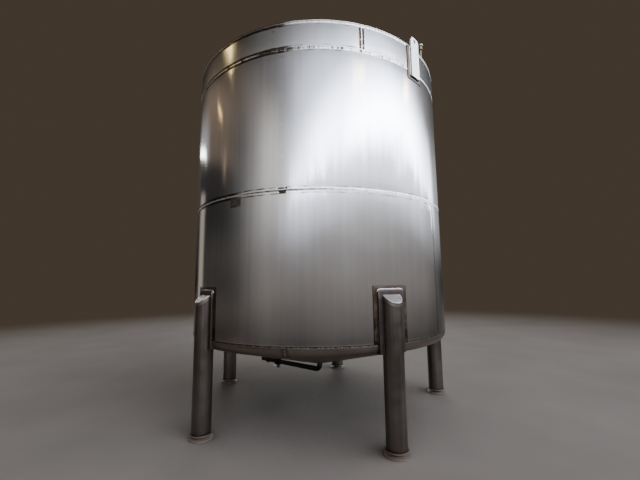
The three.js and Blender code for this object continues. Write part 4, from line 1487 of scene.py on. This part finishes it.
def along_run(points, sizes, level):
    """Points made about the upright axis, laid along the drain's run: height becomes distance along it."""
    turned_over = points[..., [2, 0, 1]]
    return placed(turned_over, math.degrees(sizes.direction)) + np.array([0, 0, level])


def drain_pipe_surface(sizes, level, top, end):
    """A round carried down, through a quarter bend and along the run, in rings square to its line."""
    bend = sizes.bend
    a = np.linspace(0, math.pi / 2, 17)
    drop = np.linspace(top, level + bend, 8)[:-1]
    run = np.linspace(bend, end, 30)[1:]
    line = np.concatenate([np.stack([0 * drop, drop], 1),
                           np.stack([bend - bend * np.cos(a), level + bend - bend * np.sin(a)], 1),
                           np.stack([run, level + 0 * run], 1)])
    tangent = np.concatenate([np.tile([0, -1], (len(drop), 1)), np.stack([np.sin(a), -np.cos(a)], 1),
                              np.tile([1, 0], (len(run), 1))])
    theta = np.linspace(0, 2 * math.pi, 49)
    side = np.stack([-tangent[:, 1], np.zeros(len(line)), tangent[:, 0]], 1)
    centre = np.stack([line[:, 0], np.zeros(len(line)), line[:, 1]], 1)
    rings = (centre[:, None] + sizes.radius * (np.cos(theta)[None, :, None] * side[:, None]
             + np.sin(theta)[None, :, None] * np.array([0, 1, 0])))
    caps = [np.broadcast_to(centre[k], rings[:1].shape) for k in (0, -1)]
    surface = Surface()
    surface.grid(placed(np.concatenate([caps[0], rings, caps[1]])[:, ::-1], math.degrees(sizes.direction)))
    return surface


class TankAddDrain(bpy.types.Operator):
    """Make the drain: bent pipe, clamped valve with its knob and lever, and outlet with a union nut"""

    bl_idname = "object.tank_add_drain"
    bl_label = "Drain"

    def execute(self, context):
        sizes = context.scene.tank_drain
        dull = "dull_drain_steel"
        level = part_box("drain_pipe")[0].z + sizes.radius
        start, end, out = VALVE_START, VALVE_END, OUTLET_END
        bottom = bottom_line(context.scene.tank_bottom)
        top = np.interp(sizes.radius, bottom[:, 0], bottom[:, 1]) - 1 * MM
        add_piece("drain_bent_pipe", drain_pipe_surface(sizes, level, top, start), dull, "drain_steel",
                  "drain_pipe")
        hub, flange, rim = sizes.hub_radius, sizes.valve_radius, 12 * MM
        body = Surface()
        profile = eased([[0, start], [flange, start], [flange, start + rim], [hub, start + rim],
                         [hub, end - rim], [flange, end - rim], [flange, end], [0, end]], 2 * MM)
        body.grid(along_run(turned(profile, 72), sizes, level))
        for k in range(VALVE_BOLTS):
            a = math.radians(360 * (k + 0.5) / VALVE_BOLTS)
            bolt = rod(5 * MM, start - 5 * MM, end + 5 * MM, 1 * MM)
            shift = VALVE_BOLT_CIRCLE * np.array([math.cos(a), math.sin(a), 0])
            body.grid(along_run(turned(bolt, 12) + shift, sizes, level))
        add_piece("drain_valve_body", body, dull, "drain_steel", "drain_valve")
        low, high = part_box("drain_lever")
        middle = (start + end) / 2
        knob = Surface()
        grip = eased([[0, low.z], [24 * MM, low.z], [28 * MM, low.z + 6 * MM], [28 * MM, low.z + 25 * MM],
                      [22 * MM, low.z + 31 * MM], [12 * MM, low.z + 33 * MM], [12 * MM, high.z], [0, high.z]],
                      3 * MM)
        knob.grid(placed(turned(grip, 48) + np.array([middle, 0, 0]), math.degrees(sizes.direction)))
        t = np.linspace(0, 1, 30)[:, None]
        theta = np.linspace(0, 2 * math.pi, 25)[None, :]
        narrow = np.sqrt(np.clip(1 - (2 * np.abs(t - 0.5)) ** 12, 0, 1))
        half_width = 13 * MM * narrow * (1 - 0.25 * t)
        half_height = 4 * MM * narrow
        super_cos = np.sign(np.cos(theta)) * np.abs(np.cos(theta)) ** 0.5
        super_sin = np.sign(np.sin(theta)) * np.abs(np.sin(theta)) ** 0.5
        arm = np.stack(np.broadcast_arrays(
            middle + 160 * MM * t, half_width * super_cos, low.z + 8 * MM + half_height * super_sin), -1)
        knob.grid(placed(arm, math.degrees(sizes.direction)))
        add_piece("drain_knob_and_lever", knob, "ground_leg_steel", "drain_steel", "drain_lever")
        tail = Surface()
        pipe = eased([[0, end], [sizes.radius + 6 * MM, end], [sizes.radius + 6 * MM, end + 8 * MM],
                      [sizes.radius, end + 14 * MM], [sizes.radius, out], [sizes.radius - 3 * MM, out],
                      [sizes.radius - 3 * MM, out - 60 * MM], [0, out - 60 * MM]], 1.5 * MM)
        tail.grid(along_run(turned(pipe, 60), sizes, level))
        degrees = np.linspace(0, 360, 193)[None, :]
        slots = smooth(0.62, 0.75, np.cos(np.radians(degrees * 4)))
        outline = eased([[sizes.radius, NUT_START], [sizes.nut_radius - 4 * MM, NUT_START],
                         [sizes.nut_radius, NUT_START + 4 * MM], [sizes.nut_radius, NUT_END - 4 * MM],
                         [sizes.nut_radius - 4 * MM, NUT_END], [sizes.radius, NUT_END],
                         [sizes.radius, NUT_START]], 1 * MM)
        depth = 7 * MM * slots * smooth(sizes.nut_radius - 9 * MM, sizes.nut_radius - 5 * MM, outline[:, :1])
        tail.grid(along_run(polar(outline[:, :1] - depth, degrees, outline[:, 1:]), sizes, level))
        add_piece("drain_tail_and_nut", tail, dull, "drain_steel", "drain_outlet")
        return {"FINISHED"}


# Stage

# The photograph's camera, as the fit gives it: place in metres, angles in degrees, lens and sensor in mm
CAMERA_PLACE = Vector((3.5124, -3.1718, 1.579))
CAMERA_HEADING = 137.03
CAMERA_PITCH = 7.241
CAMERA_ROLL = -0.652
CAMERA_LENS = 18.588
SENSOR_WIDTH = 36

# The studio's light by direction, as seen from the tank, with angles in degrees and levels as radiance.
# A low glow all round: its level at each elevation, and how much of it is left at each azimuth
GLOW_LEVELS = ((-40, 0.05), (-18, 0.06), (-9, 0.08), (-3, 0.11), (2, 0.28), (7, 0.52), (12, 0.74), (20, 0.80),
               (27, 0.55), (35, 0.16), (50, 0.20), (90, 0.40))
GLOW_SIDES = ((-180, 0.05), (-135, 0.04), (-115, 0.15), (-99, 0.60), (-85, 0.88), (-60, 0.80), (-35, 0.98),
              (10, 1.00), (60, 0.90), (80, 0.58), (96, 0.24), (130, 0.10), (180, 0.08))
GLOW_COLOUR = "#f4eee8"

# Panels of light: middle and half width in azimuth, lowest and highest elevation in the middle, softness of
# the sides, of the lower and of the upper edge, unevenness and slope of the edges, radiance, colour
PANELS = {
    "high_front": (0, 67, 15, 41, 15, 6, 9, 0, 0, 2.2, "#e4edff"),
    "bright_front": (5, 58, 23.5, 33, 14, 1.8, 5, 3.0, 0, 10.0, "#e8f0ff"),
    "bright_core": (15, 30, 24.5, 31, 12, 3, 3, 0, 0, 10.0, "#ecf2ff"),
    "low_left": (-125, 42, -6, 8, 14, 3, 4, 0, 0, 0.05, "#f4e6d8"),
    "left_shoulder": (-80, 12, 12, 28, 10, 8, 5, 0, 0, 0.5, "#f6f2ec"),
    "high_left": (-50, 20, 30.5, 42, 16, 3, 5, 0, 0, 0.5, "#eef2fc"),
    "low_front": (-10, 92, -9, 2, 22, 7, 4, 0, 0, 0.13, "#ffeadb"),
    "left_floor": (-125, 50, -24, -3, 14, 4, 3, 0, 0, 0.04, "#ffe8d4"),
    "left_near_floor": (-165, 50, -50, -14, 20, 10, 4, 0, 0, 0.13, "#ffe8d4"),
    "rear_floor": (140, 50, -50, -4, 20, 10, 4, 0, 0, 0.11, "#f6eee6"),
    "left_high": (-135, 45, 27, 38, 25, 4, 4, 0, 0, 0.09, "#ffe2c4"),
    "left_window": (-61, 5.5, 15, 20, 1, 0.6, 4, 3.5, 0.1, 2.4, "#f2f5fc"),
    "right_window": (65, 20, 15.5, 25, 5, 0.6, 5, 2.5, -0.25, 4.6, "#eef3fd"),
    "right_glow": (92, 16, 6, 20, 8, 5, 6, 0, 0, 0.42, "#e8edf6"),
    "rear": (138, 16, 12, 42, 7, 6, 10, 0, 0, 3.0, "#f8f7f5"),
    "limb_window": (-178, 10, 20.3, 21.3, 2, 0.4, 1.0, 0, 0, 13.0, "#f8f7f5"),
    "limb_halo": (-174, 12, 20.2, 25, 6, 0.6, 4, 0, 0, 0.40, "#e6ecf6"),
    "warm_rear": (-148, 26, 19.6, 31, 14, 1.5, 3, 0, 0, 0.16, "#ffdcbc"),
    "pale_strip": (-172, 6, -5, 14.5, 3, 3, 0.6, 0, 0, 0.40, "#fff0dc"),
    "lamp_1": (-133, 4.0, 36.2, 41, 1.5, 1, 2, 0, 0, 5.0, "#ffdf9c"),
    "lamp_1_tail": (-129.5, 1.0, 33.8, 37, 0.8, 1, 0.5, 0, 0, 6.0, "#ffdf9c"),
    "lamp_2": (-142.5, 2.4, 27.1, 27.8, 0.8, 0.3, 0.3, 0, -0.28, 5.0, "#ffd48c"),
    "lamp_3": (-134, 1.2, 17.5, 21, 1, 2, 2, 0, 0, 0.5, "#ffdcb0"),
    "lamp_4": (-5, 6, 32.4, 34.0, 2, 0.6, 0.6, 0, 0.1, 12.0, "#ffcb8c"),
    "lamp_5": (46, 2.5, 28.8, 31.5, 1.5, 1, 1, 0, 0, 14.0, "#ffcb8c"),
}

# How fast a panel's height falls off towards its sides, and the spacing of the ribs that make an edge uneven
PANEL_DROOP = 0.75
RIB_SPACING = math.radians(2.4)

# Distances from the origin where the floor is lost in the haze, and where it stops being mirrored
FLOOR_FADE_START = 6.0
FLOOR_FADE_END = 16.0
MIRRORED_FADE_START = 2.6
MIRRORED_FADE_END = 4.6

# How far the floor lies below the feet, so that no two faces coincide
FLOOR_DROP = 2 * MM


def add_floor(stage):
    """A round floor: rings of points about the origin on the ground."""
    radii, slab = (30, 16, 8, 4, 0), 0.5
    profile = np.array([[0, -slab], [radii[0], -slab], *([radius, 0] for radius in radii)])
    surface = Surface()
    surface.grid(turned(profile - [0, FLOOR_DROP], 96))
    floor = surface.build("studio_floor")
    floor.data.materials.append(smooth_concrete(stage))


def level_curve(tree, angle_socket, low, high, stops):
    """A smooth curve through levels at angles in degrees, by way of a ramp between two angles."""
    share = add_node(tree, "ShaderNodeMapRange", {
        "Value": angle_socket, "From Min": math.radians(low), "From Max": math.radians(high)}).outputs[0]
    curve = add_node(tree, "ShaderNodeValToRGB", {"Fac": share}, stops=[
        ((at - low) / (high - low), (level,) * 3) for at, level in stops])
    curve.color_ramp.interpolation = "B_SPLINE"
    return curve.outputs[0]


def step(tree, value, middle, softness):
    """Rises smoothly from 0 to 1 as a value passes a middle, both of which may be sockets."""
    past = add_node(tree, "ShaderNodeMath", {0: value, 1: middle}, operation="SUBTRACT").outputs[0]
    return add_node(tree, "ShaderNodeMapRange", {
        "Value": past, "From Min": -math.radians(softness), "From Max": math.radians(softness)},
        interpolation_type="SMOOTHSTEP").outputs[0]


def panel(tree, azimuth, elevation, values):
    """Light from a panel: a band of azimuth times a band of elevation that droops to its sides, or slopes.

    The unevenness shifts the lower edge by a noise of azimuth, as a ribbed sheet before a window would."""
    middle, half, low, high, side_soft, low_soft, high_soft, unevenness, slope, radiance, hex_colour = values
    off = add_node(tree, "ShaderNodeMath", {0: azimuth, 1: math.radians(middle)},
                   operation="SUBTRACT").outputs[0]
    turn = add_node(tree, "ShaderNodeMath", {0: off, 1: -math.pi, 2: math.pi}, operation="WRAP").outputs[0]
    away = add_node(tree, "ShaderNodeMath", {0: turn}, operation="ABSOLUTE").outputs[0]
    slack = add_node(tree, "ShaderNodeMath", {0: away, 1: PANEL_DROOP}, operation="MULTIPLY").outputs[0]
    droop = add_node(tree, "ShaderNodeMath", {0: slack}, operation="COSINE").outputs[0]
    tilt = add_node(tree, "ShaderNodeMath", {0: turn, 1: slope}, operation="MULTIPLY").outputs[0]
    foot, head = (add_node(tree, "ShaderNodeMath", {
        0: droop, 1: math.radians(level), 2: tilt}, operation="MULTIPLY_ADD").outputs[0]
        for level in (low, high))
    if unevenness:
        ribs = add_node(tree, "ShaderNodeMath", {0: azimuth, 1: 1 / RIB_SPACING},
                        operation="MULTIPLY").outputs[0]
        noise = add_node(tree, "ShaderNodeTexNoise", {
            "W": ribs, "Scale": 1.0, "Detail": 1.0}, noise_dimensions="1D").outputs[0]
        foot = add_node(tree, "ShaderNodeMath", {
            0: noise, 1: math.radians(4 * unevenness), 2: foot}, operation="MULTIPLY_ADD").outputs[0]
        foot = add_node(tree, "ShaderNodeMath", {0: foot, 1: math.radians(2 * unevenness)},
                        operation="SUBTRACT").outputs[0]
    above = step(tree, elevation, foot, low_soft)
    below = step(tree, head, elevation, high_soft)
    within = step(tree, math.radians(half), away, side_soft)
    band = add_node(tree, "ShaderNodeMath", {0: above, 1: below}, operation="MULTIPLY").outputs[0]
    share = add_node(tree, "ShaderNodeMath", {0: band, 1: within}, operation="MULTIPLY").outputs[0]
    tone = tuple(radiance * c for c in linear(hex_colour))
    return add_node(tree, "ShaderNodeVectorMath", {0: tone, "Scale": share}, operation="SCALE").outputs[0]


def add_world(stage):
    """Soft light from all round as a function of azimuth and elevation, behind a plain backdrop."""
    world = bpy.data.worlds.new("studio_air")
    bpy.context.scene.world = world
    world.use_nodes = True
    tree = world.node_tree
    tree.nodes.clear()
    direction = add_node(tree, "ShaderNodeTexCoord").outputs["Generated"]
    x, y, z = add_node(tree, "ShaderNodeSeparateXYZ", {0: direction}).outputs
    azimuth = add_node(tree, "ShaderNodeMath", {0: y, 1: x}, operation="ARCTAN2").outputs[0]
    elevation = add_node(tree, "ShaderNodeMath", {0: z}, operation="ARCSINE").outputs[0]
    rise = level_curve(tree, elevation, -90, 90, GLOW_LEVELS)
    round_about = level_curve(tree, azimuth, -180, 180, GLOW_SIDES)
    even_light = add_node(tree, "ShaderNodeVectorMath", {0: rise, 1: round_about},
                          operation="MULTIPLY").outputs[0]
    total = add_node(tree, "ShaderNodeVectorMath", {
        0: even_light, 1: linear(GLOW_COLOUR)}, operation="MULTIPLY").outputs[0]
    for values in PANELS.values():
        total = add_node(tree, "ShaderNodeVectorMath", {
            0: total, 1: panel(tree, azimuth, elevation, values)}, operation="ADD").outputs[0]
    seen = add_node(tree, "ShaderNodeLightPath").outputs["Is Camera Ray"]
    shown = add_node(tree, "ShaderNodeMix", {0: seen, MIX_A: total, MIX_B: (*stage.backdrop, 1)},
                     data_type="RGBA").outputs[MIX_RESULT]
    air = add_node(tree, "ShaderNodeBackground", {"Color": shown, "Strength": 1.0})
    add_node(tree, "ShaderNodeOutputWorld", {"Surface": air.outputs[0]})


def add_camera():
    """The camera at the photograph's place, turned by its heading, pitch and roll."""
    heading, pitch, roll = map(math.radians, (CAMERA_HEADING, CAMERA_PITCH, CAMERA_ROLL))
    forward = Vector((math.cos(heading) * math.cos(pitch), math.sin(heading) * math.cos(pitch),
                      math.sin(pitch)))
    level = Vector((math.sin(heading), -math.cos(heading), 0))
    upright = level.cross(forward)
    right = math.cos(roll) * level + math.sin(roll) * upright
    up = -math.sin(roll) * level + math.cos(roll) * upright
    data = bpy.data.cameras.new("photo_camera")
    data.lens = CAMERA_LENS
    data.sensor_width = SENSOR_WIDTH
    data.clip_end = 200
    camera = bpy.data.objects.new("photo_camera", data)
    bpy.context.scene.collection.objects.link(camera)
    turn = Matrix((right, up, -forward)).transposed().to_4x4()
    turn.translation = CAMERA_PLACE
    camera.matrix_world = turn
    bpy.context.scene.camera = camera


class TankAddStage(bpy.types.Operator):
    """Set up the floor, the light from all round and the camera"""

    bl_idname = "object.tank_add_stage"
    bl_label = "Studio"

    def execute(self, context):
        stage = context.scene.tank_stage
        add_floor(stage)
        add_world(stage)
        add_camera()
        return {"FINISHED"}


OPERATORS = (TankAddShell, TankAddWelds, TankAddBottom, TankAddRoof, TankAddLegs, TankAddLugs, TankAddVent,
             TankAddManway, TankAddDrain, TankAddStage)


class TankPanel(bpy.types.Panel):
    """Lists what the tank is made of"""

    bl_idname = "VIEW3D_PT_tank"
    bl_label = "Storage Tank"
    bl_space_type = "VIEW_3D"
    bl_region_type = "UI"
    bl_category = "Tank"

    def draw(self, context):
        for operator in OPERATORS:
            self.layout.operator(operator.bl_idname)
        for name, group in SETTINGS.items():
            box = self.layout.box()
            box.label(text=name.replace("_", " ").title())
            for key in group.__annotations__:
                box.prop(getattr(context.scene, name), key)


CLASSES = (*SETTINGS.values(), *OPERATORS, TankPanel)


def register():
    for cls in CLASSES:
        bpy.utils.register_class(cls)
    for name, group in SETTINGS.items():
        setattr(bpy.types.Scene, name, PointerProperty(type=group))


def unregister():
    for name in SETTINGS:
        delattr(bpy.types.Scene, name)
    for cls in reversed(CLASSES):
        bpy.utils.unregister_class(cls)


def main():
    """Registers the add-on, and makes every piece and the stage."""
    register()
    for operator in OPERATORS:
        group, call = operator.bl_idname.split(".")
        getattr(getattr(bpy.ops, group), call)()


if __name__ == "__main__":
    main()
